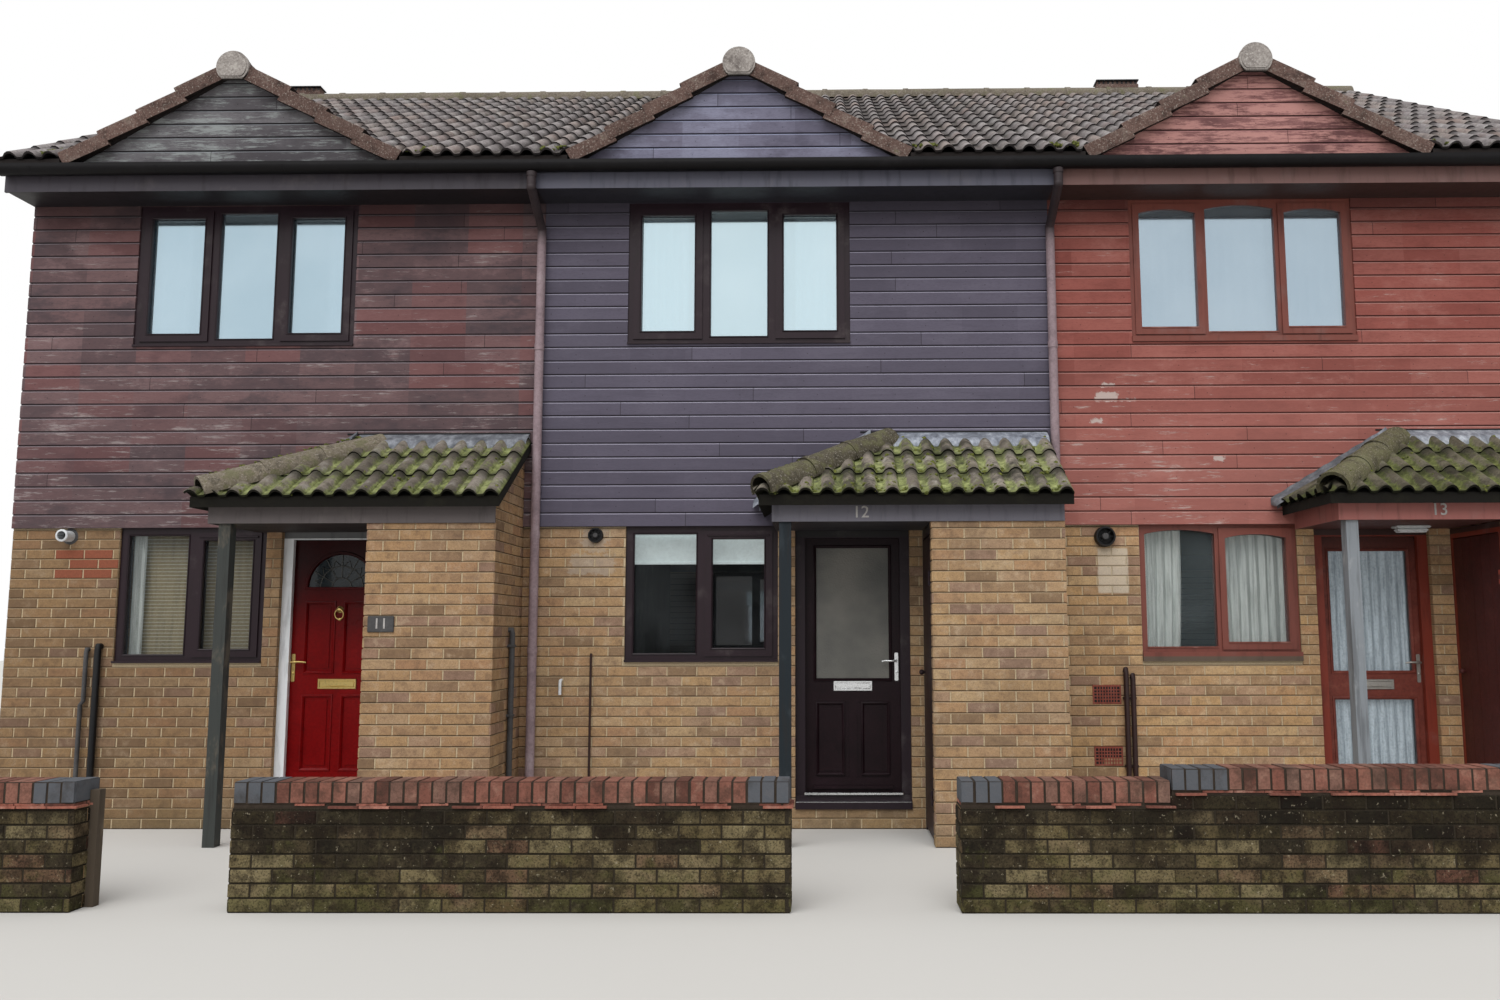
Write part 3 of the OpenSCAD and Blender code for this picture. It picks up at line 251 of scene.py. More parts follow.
# Finishes of masonry.
def buff_brick():
    f = Finish("buff_brick", rough=0.92, shine=0.15)
    tone = f.tone()
    base = f.ramp(tone, (0.0, "#937758"), (0.12, "#a98a68"), (0.3, "#b8946b"), (0.5, "#c29d6e"),
                  (0.65, "#b98f68"), (0.8, "#c6a67a"), (0.92, "#ae8c70"), (1.0, "#9a7c66"))
    long = f.noise(11.0, 5.0, 0.6, f.stretched(1.0, 1.0, 2.2))
    colour, small = weathered(f, base, "#7a614b", "#d6bc98", 14.0, 95.0, 0.5)
    colour = f.mix(long.above(0.50, 0.74) * 0.4, colour, "#856a56")
    colour = f.mix(tone > 1.2, colour, f.mix(small.above(0.4, 0.6) * 0.4, "#bd6a50", "#9b5742"))
    colour = f.mix(f.within(*PALE_PATCH) * 0.8, colour, "#cdbfa8")
    smear = f.within(-1.73, -1.40, 1.90, 2.05, 0.10) + f.within(-1.63, -1.44, 2.07, 2.30, 0.12)
    colour = f.mix(smear * 0.45, colour, "#bdb09c")
    left = f.x.above(-3.6, -4.9)
    colour = f.mix(left * 0.42, colour, "#57452f")
    pits = f.noise(150.0, 4.0, 0.7).above(0.54, 0.66)
    colour = f.mix(pits * 0.35, colour, "#57432f")
    stains = f.noise(1.7, 6.0, 0.66, f.stretched(1.3, 1.3, 0.7)).above(0.50, 0.70)
    colour = f.mix(stains * 0.30, colour, "#6b5846")
    dull = f.by_house((0.83, 0.84, 0.92), (0.89, 0.93, 1.03), (1.03, 1.05, 1.10))
    colour = f.times(colour, dull)
    foot = (f.noise(3.0, 4.0) * 0.5 + f.z).above(0.62, 0.18)
    f.use("Base Color", f.mix(foot * 0.45, colour, "#57523c"))
    f.bump(small * 0.6 + f.noise(240.0, 3.0), 0.0024, 0.9)
    return f


def mortar(name, shadow, pale, perp, body):
    f = Finish(name, rough=0.96, shine=0.1)
    rows = (f.z / BED) % 1.0
    under, over = rows < 0.062, rows > 0.925
    joint = under + over
    grain = f.noise(150.0, 4.0)
    colour = f.mix(over, f.mix(under, perp, shadow), pale)
    side = (f.facing("X").size() > 0.5) * (1.0 - joint)
    colour = f.mix(side, colour, f.mix(f.random((f.z / BED).floor()), body, "#a98b68"))
    colour = f.mix(f.within(*PALE_PATCH) * 0.7, colour, "#c2b49d")
    f.use("Base Color", f.mix(grain.above(0.4, 0.65) * 0.3, colour, "#4f4438"))
    f.bump(grain, 0.003)
    return f


def garden_brick():
    f = Finish("garden_brick", rough=0.93, shine=0.12)
    base = f.ramp(f.tone(), (0.0, "#352e26"), (0.3, "#5b4e3b"), (0.55, "#766649"), (0.78, "#908062"),
                  (1.0, "#6b483d"))
    colour, small = weathered(f, base, "#262219", "#8a7d60", 13.0, 90.0, 0.5)
    runs = f.noise(2.0, 6.0, 0.66, f.stretched(1.0, 1.0, 0.6))
    soot = (runs + (f.z - 0.36) * 0.7).above(0.42, 0.62)
    colour = f.mix(soot * 0.82, colour, "#1b1713")
    moss = (f.noise(6.0, 6.0, 0.7) + (0.28 - f.z) * 0.6).above(0.50, 0.70)
    colour = f.mix(moss * 0.42, colour, "#55562c")
    speck = f.noise(48.0, 3.0, 0.7).above(0.64, 0.70)
    colour = f.times(colour, (0.74, 0.77, 0.74))
    stains = f.noise(9.0, 6.0, 0.75).above(0.46, 0.60)
    colour = f.mix(stains * 0.62, colour, "#1d1511")
    pits = f.noise(90.0, 5.0, 0.74).above(0.53, 0.60)
    colour = f.mix(pits * 0.55, colour, "#15120e")
    f.use("Base Color", f.mix(speck * 0.5, colour, "#a59b84"))
    f.bump(small + f.noise(210.0, 3.0) * 0.6, 0.0028, 0.9)
    return f


def coping_brick():
    f = Finish("coping_brick", rough=0.85, shine=0.2)
    tone = f.tone()
    red = f.ramp(tone, (0.0, "#5f3d34"), (0.35, "#7d5044"), (0.7, "#8f6052"), (1.0, "#6e564c"))
    colour, small = weathered(f, red, "#33261f", "#a3806f", 12.0, 85.0, 0.45)
    colour = f.mix((tone > 1.5) * 0.86, colour, "#535a61")
    grime = f.noise(5.0, 6.0, 0.68).above(0.48, 0.70)
    f.use("Base Color", f.mix(grime * 0.55, colour, "#302922"))
    f.bump(small + f.noise(230.0, 3.0) * 0.5, 0.0022, 0.9)
    return f


def creasing_tile():
    f = Finish("creasing_tile", rough=0.9)
    base = f.ramp(f.tone(), (0.0, "#6a4036"), (0.5, "#945a4b"), (1.0, "#b07868"))
    colour, small = weathered(f, base, "#2b201b", "#b08878", 12.0, 70.0, 0.6)
    f.use("Base Color", colour)
    f.bump(small, 0.003)
    return f


def blockwork():
    f = Finish("blockwork", rough=0.95)
    base = f.ramp(f.tone(), (0.0, "#8b8983"), (0.5, "#9b9992"), (1.0, "#a6a39b"))
    colour, small = weathered(f, base, "#74716a", "#b4b1a8", 3.0, 60.0, 0.5)
    stain = f.noise(1.1, 5.0, 0.6, f.stretched(1.0, 1.0, 0.3)).above(0.5, 0.75)
    f.use("Base Color", f.mix(stain * 0.3, colour, "#6a665c"))
    f.bump(small + f.noise(300.0, 3.0) * 0.5, 0.003)
    return f


def terracotta():
    f = Finish("terracotta", "#8b4b3e", 0.88)
    colour, small = weathered(f, "#8b4b3e", "#5e3128", "#a8695a", 20.0, 120.0)
    f.use("Base Color", colour)
    f.bump(small, 0.0015)
    return f


# Finishes of tiles.
def roof_tile():
    f = Finish("roof_tile", rough=0.9, shine=0.15)
    base = f.ramp(f.tone(), (0.0, "#79706d"), (0.3, "#8d8482"), (0.6, "#9a918e"), (0.85, "#96867e"),
                  (1.0, "#7d7774"))
    colour, small = weathered(f, base, "#4c4644", "#b9b4ae", 6.0, 55.0, 0.6)
    lichen = f.noise(38.0, 4.0, 0.7).above(0.56, 0.66)
    colour = f.mix(lichen * 0.5, colour, "#c4c1b5")
    colour = f.mix(f.noise(2.2, 4.0).above(0.5, 0.7) * 0.3, colour, "#7c5b50")
    dip, shade_along = f.tone("dip"), f.tone("shade_along")
    moss = (f.noise(9.0, 5.0, 0.7) + dip * 0.12).above(0.58, 0.7)
    colour = f.mix(moss * 0.5, colour, "#4c4a33")
    # Painted shade: darker in the pans, dark towards each tile's head under the next course, near black on
    # faces that do not face up.
    nose = f.facing("Z").above(0.25, 0.05)
    colour = f.mix(dip * 0.62, colour, "#2e2827")
    colour = f.mix(shade_along.above(0.48, 0.92) * 0.80, colour, "#1b1717")
    colour = f.times(colour, (0.90, 0.93, 0.97))
    f.use("Base Color", f.mix(nose * 0.9, colour, "#141011"))
    f.bump(small + f.noise(180.0, 3.0) * 0.5, 0.003)
    return f


def porch_tile():
    f = Finish("porch_tile", rough=0.95, shine=0.12)
    base = f.ramp(f.tone(), (0.0, "#655d52"), (0.5, "#7e7467"), (1.0, "#8d8375"))
    colour, small = weathered(f, base, "#3b362d", "#a59f92", 8.0, 60.0, 0.6)
    dip, shade_along = f.tone("dip"), f.tone("shade_along")
    cover = f.noise(5.0, 5.0, 0.68) + f.noise(40.0, 4.0, 0.7) * 0.3 + dip * 0.30
    moss = cover.above(0.64, 0.90)
    green = f.ramp(f.noise(21.0, 4.0, 0.65), (0.3, "#4a5033"), (0.5, "#7a8149"), (0.7, "#a3a96c"))
    colour = f.mix(moss * 0.82, colour, green)
    soot = f.noise(3.4, 5.0, 0.7).above(0.50, 0.62) * f.by_house("#303030", "#d0d0d0", "#b0b0b0")
    colour = f.mix(soot, colour, "#23231b")
    colour = f.times(colour, f.by_house((1.0, 1.02, 1.1), (1.27, 1.3, 1.4), (0.62, 0.64, 0.60)))
    # Painted shade: dark towards each tile's head under the next course, a darker band at the nose, near
    # black on faces that do not face up.
    nose = f.facing("Z").above(0.25, 0.05)
    colour = f.mix(shade_along.above(0.50, 0.92) * 0.75, colour, "#1d1e16")
    colour = f.mix(shade_along.above(0.16, 0.02) * 0.45, colour, "#2a2a1e")
    f.use("Base Color", f.mix(nose * 0.92, colour, "#0f0f0b"))
    f.bump(small * 0.7 + moss * 1.2 + f.noise(120.0, 4.0) * 0.6, 0.006)
    return f


def moss():
    f = Finish("moss", rough=1.0)
    green = f.ramp(f.noise(60.0, 4.0, 0.7), (0.3, "#2f331a"), (0.5, "#5d6330"), (0.72, "#8a8c44"))
    f.use("Base Color", green)
    f.bump(f.noise(260.0, 4.0, 0.7), 0.004)
    return f


def ridge_tile(name, base, deep, pale, moss_share, speck="#b5aea4"):
    f = Finish(name, rough=0.93, shine=0.15)
    base = f.by_house(*base) if isinstance(base, tuple) else base
    colour, small = weathered(f, base, deep, pale, 9.0, 60.0, 0.65)
    colour = f.mix(f.tone() * 0.35, colour, deep)
    grit = f.noise(75.0, 3.0, 0.75)
    colour = f.mix(grit.above(0.56, 0.66) * 0.5, colour, speck)
    colour = f.mix(grit.above(0.44, 0.34) * 0.5, colour, deep)
    green = f.noise(9.0, 5.0, 0.7).above(0.66 - moss_share * 0.3, 0.8 - moss_share * 0.3)
    colour = f.mix(green * 0.6, colour, "#5a5a35")
    # Painted shade: faces turned downward are darkened to near black.
    f.use("Base Color", f.mix(f.facing("Z").above(-0.22, -0.5) * 0.9, colour, "#0d0b0a"))
    f.bump(small + f.noise(170.0, 4.0) * 0.6, 0.004)
    return f


# Finishes of timber and plastic.
def boards(name, main, deep, pale, edge, bare, peel, worn, first=BRICK_TOP, spots=(), red=None, foot=None):
    """Boarding: board and patch tones, grain, V joints, butt joints, nails, worn and bare places, painted
    light and shade.
    """
    rough = 0.72
    f = Finish(name, rough=rough, shine=0.2)
    up = (f.z - first) / BOARD_PITCH
    row, level = up.floor(), up % 1.0
    along = f.x + f.random(row) * 7.3
    length = 3.4                         # of a board, with a nail every 0.6
    shade = f.random((along / length).floor() + row * 13.0)
    cell = f.random((f.x / 0.43).floor() * 3.7 + ((row + 0.5) / 2.0).floor() * 11.3)
    blotch = f.noise(2.2, 6.0, 0.68, f.stretched(0.7, 1.0, 1.3))
    streak = f.noise(12.0, 5.0, 0.62, f.stretched(0.22, 1.0, 2.4))
    fine = f.noise(75.0, 4.0, 0.65, f.stretched(0.4, 1.0, 1.6))
    colour = f.mix(shade.above(0.55, 1.0) * 0.35 * worn, main, pale)
    colour = f.mix(shade.above(0.45, 0.0) * 0.5, colour, deep)
    colour = f.mix(cell.above(0.5, 1.0) * 0.4 * worn, colour, pale)
    colour = f.mix(cell.above(0.45, 0.0) * 0.4 * worn, colour, deep)
    colour = f.mix(blotch.above(0.50, 0.66) * worn * 0.8, colour, pale)
    colour = f.mix(blotch.above(0.50, 0.34) * worn * 0.8, colour, deep)
    colour = f.mix(streak.above(0.52, 0.72) * 0.3, colour, deep)
    colour = f.mix(fine.above(0.48, 0.68) * 0.3, colour, deep)
    if red:
        colour = f.mix(f.random(cell * 17.0 + 3.0).above(0.45, 0.9) * 0.42, colour, red)
    # Painted shade and light: towards the foot the boards blend to the foot colour, darker on houses 1 and 2,
    # lighter on house 3.
    if foot:
        colour = f.mix(f.z.above(3.9, 2.5) * 0.32, colour, foot)
    scratch = f.noise(13.0, 7.0, 0.78, f.stretched(0.30, 1.0, 2.6))
    if isinstance(peel, tuple):
        peel = f.value_by_house(*peel)
    lower = (f.z - 3.1) * -0.035
    flake = (lower + peel * 0.2 + scratch + blotch * 0.45).above(0.84, 0.96) * 0.62
    for spot in spots:
        flake = flake + f.within(*spot, 0.06)
    colour = f.mix(flake.math("MINIMUM", 0.85), colour, bare)
    # Painted light and shade: a pale highlight line on each board's upward top chamfer, and V joints darkened
    # partly as dark joints and partly as painted shadow.
    groove = level.above(0.942, 0.962) + level.above(0.040, 0.012)
    lip = level.above(0.850, 0.880) * level.above(0.945, 0.925) * (streak * 0.4 + 0.68)
    colour = f.mix(lip, colour, edge)
    colour = f.mix(groove * 0.85, colour, f.mix(0.35, "#171114", deep))
    butt = ((along % length) - 0.003).size() < 0.0022
    nail = ((along % 0.6) - 0.3).size().above(0.0045, 0.0030) * ((level - 0.42).size() < 0.035)
    colour = f.mix(butt * 0.7 + nail * 0.5, colour, "#1d1719")
    near_wall = f.y.size() < 3.8
    soffit_shade = f.z.above(4.52, 4.84) * near_wall
    f.use("Base Color", f.mix(soffit_shade * 0.55, colour, "#161113"))
    f.use("Roughness", flake * 0.2 + rough)
    f.bump(streak * 0.8 + fine * 0.5 - butt * 2.0 - flake * 0.5, 0.0022)
    return f


def painted(name, colour, deep, pale, rough=0.45, bump=0.0008, scale=5.0, amount=0.35, shade=None, glow=0.0,
            shine=0.25):
    """Paint, stain or plastic with faint blotches, dust and unevenness, and, if given, painted shade from one
    height up to a second and above it.
    """
    f = Finish(name, rough=rough, shine=shine)
    broad = f.noise(scale, 5.0, 0.62)
    made, small = weathered(f, colour, deep, pale, fine=45.0, amount=amount, broad=broad)
    # Painted shade: the colour darkens from the first height up to the second and stays dark above it.
    if shade:
        made = f.mix(f.z.above(shade[0], shade[1]) * 0.88, made, "#0a0506")
    f.use("Base Color", made)
    # Painted light: if glow is given, the colour also glows.
    if glow:
        f.glow(made, glow)
    f.use("Roughness", broad * 0.25 + (rough - 0.1))
    f.bump(small + f.noise(160.0, 3.0) * 0.4, bump)
    return f


def by_house_paint(name, first, second, third, rough, dust="#8b8380", sill=None, head=None):
    """One node's timber or plastic, in each house's own colour, with painted shade underneath."""
    f = Finish(name, rough=rough, shine=0.25)
    base = f.by_house(first, second, third)
    if sill:
        base = f.mix((f.x > PARTY_X) * (f.z < sill[0]), base, sill[1])
    # Painted shade: above the head height everything is darkened, like the shade under a porch.
    if head:
        base = f.mix((f.z > head) * 0.85, base, "#262626")
    grain = f.noise(18.0, 4.0, 0.6, f.stretched(1.0, 1.0, 0.15))
    broad = f.noise(4.0, 5.0, 0.62)
    colour = f.mix(broad.above(0.54, 0.76) * 0.18, base, dust)
    colour = f.mix(grain.above(0.5, 0.72) * 0.3, colour, "#15110f")
    # Painted shade: faces turned downward are darkened.
    f.use("Base Color", f.mix(f.facing("Z").above(-0.4, -0.8) * 0.75, colour, "#0e0b0b"))
    f.use("Roughness", broad * 0.3 + (rough - 0.12))
    f.bump(grain, 0.001)
    return f


def posts_finish():
    f = Finish("post_timber", rough=0.75, shine=0.2)
    base = f.by_house("#3f4240", "#22292e", "#868b90")
    gate_post = f.y < -5.5
    base = f.mix(gate_post, base, "#53493e")
    grain = f.noise(30.0, 5.0, 0.62, f.stretched(1.0, 1.0, 0.06))
    broad = f.noise(5.0, 5.0, 0.65, f.stretched(1.0, 1.0, 0.4))
    colour = f.mix(grain.above(0.46, 0.66) * 0.4, base, "#2b2827")
    pale = f.by_house("#7a6f60", "#3c444a", "#b0b3b4")
    f.use("Base Color", f.mix(broad.above(0.54, 0.64) * 0.4, colour, pale))
    f.bump(grain, 0.003)
    return f


def metal(name, colour, rough=0.25, dull="#4a4037"):
    f = Finish(name, colour, rough, 1.0)
    spots = f.noise(60.0, 4.0, 0.65).above(0.5, 0.72)
    f.use("Base Color", f.mix(spots * 0.35, colour, dull))
    f.use("Roughness", f.noise(90.0, 3.0) * 0.25 + rough)
    return f


def lead_sheet():
    f = Finish("lead_sheet", rough=0.6, metal=0.1, shine=0.25)
    wash = f.noise(16.0, 5.0, 0.65, f.stretched(1.0, 1.0, 0.5))
    grey = f.ramp(wash, (0.32, "#6b6e74"), (0.5, "#94979d"), (0.68, "#c6c9cd"))
    grey = f.times(grey, f.by_house((0.58, 0.59, 0.62), (0.9, 0.93, 1.0), (0.9, 0.92, 0.96)))
    porch = HOUSE_AT[2] + PORCH_X[2]
    strip = f.x.above(porch + 0.62, porch + 0.60) * (f.x > 2.5)
    grey = f.mix(strip * 0.55, grey, "#3a3836")
    # Painted shade: faces not turned towards the street are darkened.
    f.use("Base Color", f.mix(f.facing("Y").above(-0.9, -0.55) * 0.25, grey, "#1c1d1f"))
    f.bump(f.noise(28.0, 4.0), 0.004)
    return f


def glass(name, colour, alpha, rough=0.04, metal=0.0, shine=0.35, haze=0.25):
    f = Finish(name, "#808080", rough, metal, shine=shine)
    smear = f.noise(1.3, 4.0, 0.6).above(0.35, 0.75)
    base = f.by_house(*colour) if isinstance(colour, tuple) else colour
    f.use("Base Color", f.mix(smear * haze, base, "#dde8ee"))
    f.use("Alpha", smear * 0.06 + alpha)
    f.use("Roughness", smear * 0.04 + rough)
    return f


def frosted():
    f = Finish("frosted_glass", "#6d6c66", 0.35)
    ripple = f.node("ShaderNodeTexVoronoi", {"Vector": f.point, "Scale": 90.0}, feature="SMOOTH_F1")
    shade = f.noise(2.2, 3.0).above(0.3, 0.75)
    f.use("Base Color", f.mix(shade, "#5b5c59", "#7c7a74"))
    f.bump(ripple, 0.002)
    return f


def cloth(name, colour, deep, alpha, folds=60.0, stripes=None, glow=0.0):
    f = Finish(name, colour, 0.95, shine=0.1)
    weave = f.noise(folds, 3.0, 0.6, f.stretched(1.0, 1.0, 0.08))
    lace = f.noise(70.0, 4.0, 0.7)
    made = f.mix(weave.above(0.40, 0.70) * 0.5, colour, deep)
    if stripes:
        made = f.mix((((f.z / 0.028) % 1.0) < 0.22) * 0.75, made, stripes)
    # Painted shade: the sides of the folds that face one way along X are darker.
    made = f.mix((f.facing("X") * 0.9 + 0.5).above(0.35, 0.9) * 0.45, made, deep)
    f.use("Base Color", made)
    # Painted light: the colour glows, standing in for daylight through the cloth.
    f.glow(made, glow)
    f.use("Alpha", lace.above(0.40, 0.55) * 0.18 + alpha)
    f.bump(lace, 0.001)
    return f


# Forms.
def circle(steps):
    """Angles of a full turn in equal steps."""
    return [2 * math.pi * i / steps for i in range(steps)]


def around(x, y, z, radius, angle):
    """A point on an upright circle that faces along Y."""
    return x + radius * math.cos(angle), y, z + radius * math.sin(angle)


def on_wall(x, y, z):
    """A place whose local Z points to the street."""
    return Matrix.Translation((x, y, z)) @ Matrix.Rotation(math.pi / 2, 4, "X")


def linked(name, data):
    """A new object in the scene."""
    made = bpy.data.objects.new(name, data)
    scene.collection.objects.link(made)
    return made


class Build:
    """Gathers closed forms in one mesh."""

    def __init__(self):
        self.bm = bmesh.new()

    def box(self, low, high, chamfer=0.0, steps=1):
        centre = (Vector(low) + Vector(high)) / 2
        size = Vector(high) - Vector(low)
        place = Matrix.Translation(centre) @ Matrix.Diagonal((*size, 1))
        made = bmesh.ops.create_cube(self.bm, size=1.0, matrix=place)["verts"]
        if chamfer:
            edges = list({e for v in made for e in v.link_edges})
            bmesh.ops.bevel(self.bm, geom=edges, offset=chamfer, segments=steps, affect="EDGES")

    def close_ends(self, cells, rows):
        """Quads over the first and last of the loops, each cells wide and folded back on itself."""
        self.bm.verts.ensure_lookup_table()
        size = 2 * (cells + 1)
        for start in (0, (rows - 1) * size):
            for i in range(cells):
                corners = (i, i + 1, size - 2 - i, size - 1 - i)
                self.bm.faces.new([self.bm.verts[start + k] for k in corners])

    def bar(self, x, half, y0, y1, z0, z1, chamfer=0.0, steps=1):
        """A box that reaches as far to both sides of x."""
        self.box((x - half, y0, z0), (x + half, y1, z1), chamfer, steps)

    def ring(self, loops, closed=True, caps=False):
        """Skins a row of point loops of the same length."""
        rows = [[self.bm.verts.new(p) for p in loop] for loop in loops]
        count = len(rows[0])
        last = len(rows) if closed else len(rows) - 1
        for i in range(last):
            a, b = rows[i], rows[(i + 1) % len(rows)]
            for j in range(count):
                k = (j + 1) % count
                self.bm.faces.new((a[j], a[k], b[k], b[j]))
        if caps:
            self.bm.faces.new(rows[0])
            self.bm.faces.new(rows[-1])

    def mitred(self, x0, x1, z0, z1, y, profile):
        """A rectangular frame: profile is (distance in from the edge, distance behind y)."""
        corners = ((x0, z0, 1, 1), (x1, z0, -1, 1), (x1, z1, -1, -1), (x0, z1, 1, -1))
        self.ring([[(x + i * sx, y + d, z + i * sz) for i, d in profile] for x, z, sx, sz in corners])

    def lathe(self, profile, place, steps=24):
        """Turns (radius, height) points about the local Z axis of a matrix; ends at radius 0 close it."""
        rows = []
        for r, h in profile:
            if r < 1e-6:
                rows.append([self.bm.verts.new(place @ Vector((0, 0, h)))])
            else:
                rows.append([self.bm.verts.new(place @ Vector((r * math.cos(a), r * math.sin(a), h)))
                             for a in circle(steps)])
        pairs = list(zip(rows, rows[1:]))
        if len(rows[0]) > 1 and len(rows[-1]) > 1:
            pairs.append((rows[-1], rows[0]))
        for a, b in pairs:
            for i in range(steps):
                j = (i + 1) % steps
                if len(a) == 1 and len(b) > 1:
                    self.bm.faces.new((a[0], b[j], b[i]))
                elif len(b) == 1 and len(a) > 1:
                    self.bm.faces.new((a[i], a[j], b[0]))
                elif len(a) > 1:
                    self.bm.faces.new((a[i], a[j], b[j], b[i]))

    def tube(self, path, radius, steps=12):
        """A round bar along a path of points, with flat ends."""
        points = [Vector(p) for p in path]
        loops, side = [], None
        for i, p in enumerate(points):
            ahead = (points[min(i + 1, len(points) - 1)] - points[max(i - 1, 0)]).normalized()
            if side is None:
                side = ahead.orthogonal().normalized()
            side = (side - ahead * side.dot(ahead)).normalized()
            up = ahead.cross(side)
            r = radius[i] if isinstance(radius, (list, tuple)) else radius
            loops.append([p + side * (r * math.cos(a)) + up * (r * math.sin(a)) for a in circle(steps)])
        self.ring(loops, closed=False, caps=True)

    def plate(self, outline, y0, y1, chamfer):
        """A flat outline of (x, z) points, between two depths, its front rim chamfered."""
        front = [self.bm.verts.new((x, y0, z)) for x, z in outline]
        back = [self.bm.verts.new((x, y1, z)) for x, z in outline]
        n = len(outline)
        self.bm.faces.new(front)
        self.bm.faces.new(back[::-1])
        for i in range(n):
            self.bm.faces.new((front[i], back[i], back[(i + 1) % n], front[(i + 1) % n]))
        rim = {e for v in front for e in v.link_edges if e.other_vert(v) in front}
        bmesh.ops.bevel(self.bm, geom=list(rim), offset=chamfer, segments=2, affect="EDGES")

    def mesh(self, name):
        """The gathered forms as a mesh, faces outward."""
        bmesh.ops.recalc_face_normals(self.bm, faces=self.bm.faces)
        made = bpy.data.meshes.new(name)
        self.bm.to_mesh(made)
        self.bm.free()
        return made

    def done(self, name, finish, body="row", angle=35.0, replaces=(), slot=None):
        return shown(name, self.mesh(name), finish, body, angle, replaces, slot)


def shown(name, mesh, finish, body="row", angle=35.0, replaces=(), slot=None):
    """A finished piece that rides on a body."""
    made = linked(name, mesh)
    mesh.name = name
    mesh.materials.clear()
    mesh.materials.append(finish.material)
    mesh.polygons.foreach_set("material_index", [0] * len(mesh.polygons))
    mesh.polygons.foreach_set("use_smooth", [True] * len(mesh.polygons))
    mesh.set_sharp_from_angle(angle=math.radians(angle))
    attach(made, body)
    for node in replaces:
        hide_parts(node)
    return made


# Laying of repeated pieces.
def laying_tree():
    """Lays a pattern on each point, turned and sized by the point, with a seeded wobble."""
    tree = bpy.data.node_groups.new("laying", "GeometryNodeTree")
    for name, kind in (("Places", "Geometry"), ("Pattern", "Object"), ("Wobble", "Float"),
                       ("Seed", "Int"), ("Finish", "Material")):
        tree.interface.new_socket(name, in_out="INPUT", socket_type="NodeSocket" + kind)
    tree.interface.new_socket("Laid", in_out="OUTPUT", socket_type="NodeSocketGeometry")
    given = tree.nodes.new("NodeGroupInput").outputs
    form = wired(tree, "GeometryNodeObjectInfo", {"Object": given["Pattern"]})
    turn, size = (wired(tree, "GeometryNodeInputNamedAttribute", {"Name": key}, data_type="FLOAT_VECTOR")
                  for key in ("turn", "size"))
    put = wired(tree, "GeometryNodeInstanceOnPoints",
                {"Points": given["Places"], "Instance": form.outputs["Geometry"],
                 "Rotation": turn.outputs["Attribute"], "Scale": size.outputs["Attribute"]})
    minus = wired(tree, "ShaderNodeMath", [given["Wobble"], -1.0], operation="MULTIPLY")
    chance = wired(tree, "FunctionNodeRandomValue", data_type="FLOAT_VECTOR",
                   inputs={0: minus.outputs[0], 1: given["Wobble"], "Seed": given["Seed"]})
    sway = wired(tree, "GeometryNodeRotateInstances",
                 {"Instances": put.outputs["Instances"], "Rotation": chance.outputs[0]})
    real = wired(tree, "GeometryNodeRealizeInstances", {"Geometry": sway.outputs["Instances"]})
    coat = wired(tree, "GeometryNodeSetMaterial",
                 {"Geometry": real.outputs["Geometry"], "Material": given["Finish"]})
    wired(tree, "NodeGroupOutput", {"Laid": coat.outputs["Geometry"]})
    return tree


LAYING = laying_tree()
PATTERNS = []


def pattern(name, build):
    """Keeps a form as a pattern for laying; it is removed at the end."""
    PATTERNS.append(linked(name, build.mesh(name)))
    return PATTERNS[-1]


def laid_mesh(places, form, finish, wobble=0.0, seed=1):
    """The plain mesh of a pattern laid on (point, size, turn, tone) places."""
    points = bpy.data.meshes.new("places")
    points.from_pydata([p[0] for p in places], [], [])
    for key, column in (("size", 1), ("turn", 2)):
        kept = points.attributes.new(key, "FLOAT_VECTOR", "POINT")
        kept.data.foreach_set("vector", [c for p in places for c in p[column]])
    kept = points.attributes.new("tone", "FLOAT", "POINT")
    kept.data.foreach_set("value", [p[3] for p in places])
    carrier = linked("places", points)
    layer = carrier.modifiers.new("laying", "NODES")
    layer.node_group = LAYING
    given = {"Pattern": form, "Wobble": float(wobble), "Seed": seed, "Finish": finish.material}
    for socket in LAYING.interface.items_tree:
        if socket.name in given:
            layer[socket.identifier] = given[socket.name]
    bpy.context.view_layer.update()
    whole = carrier.evaluated_get(bpy.context.evaluated_depsgraph_get())
    mesh = bpy.data.meshes.new_from_object(whole)
    carrier.modifiers.remove(layer)
    bpy.data.objects.remove(carrier)
    for key in ("size", "turn"):
        if key in mesh.attributes:
            mesh.attributes.remove(mesh.attributes[key])
    return mesh


def laid(name, places, form, finish, wobble=0.0, seed=1, **more):
    return shown(name, laid_mesh(places, form, finish, wobble, seed), finish, **more)


def joined(name, meshes, finish, **more):
    """One piece from several meshes, which keep their tones."""
    bm = bmesh.new()
    for mesh in meshes:
        bm.from_mesh(mesh)
    whole = bpy.data.meshes.new(name)
    bm.to_mesh(whole)
    bm.free()
    return shown(name, whole, finish, **more)


def before(y):
    """The plane that cuts away what lies behind y."""
    return Vector((0, y, 0)), Vector((0, 1, 0))


def trimmed(mesh, planes):
    """Cuts a mesh of closed pieces by (point, outward normal) planes and closes the cuts."""
    bm = bmesh.new()
    bm.from_mesh(mesh)
    for point, normal in planes:
        everything = bm.verts[:] + bm.edges[:] + bm.faces[:]
        bmesh.ops.bisect_plane(bm, geom=everything, plane_co=point, plane_no=normal, clear_outer=True)
        rim = [e for e in bm.edges if e.is_boundary]
        if rim:
            bmesh.ops.holes_fill(bm, edges=rim, sides=0)
    bm.to_mesh(mesh)
    bm.free()
    return mesh


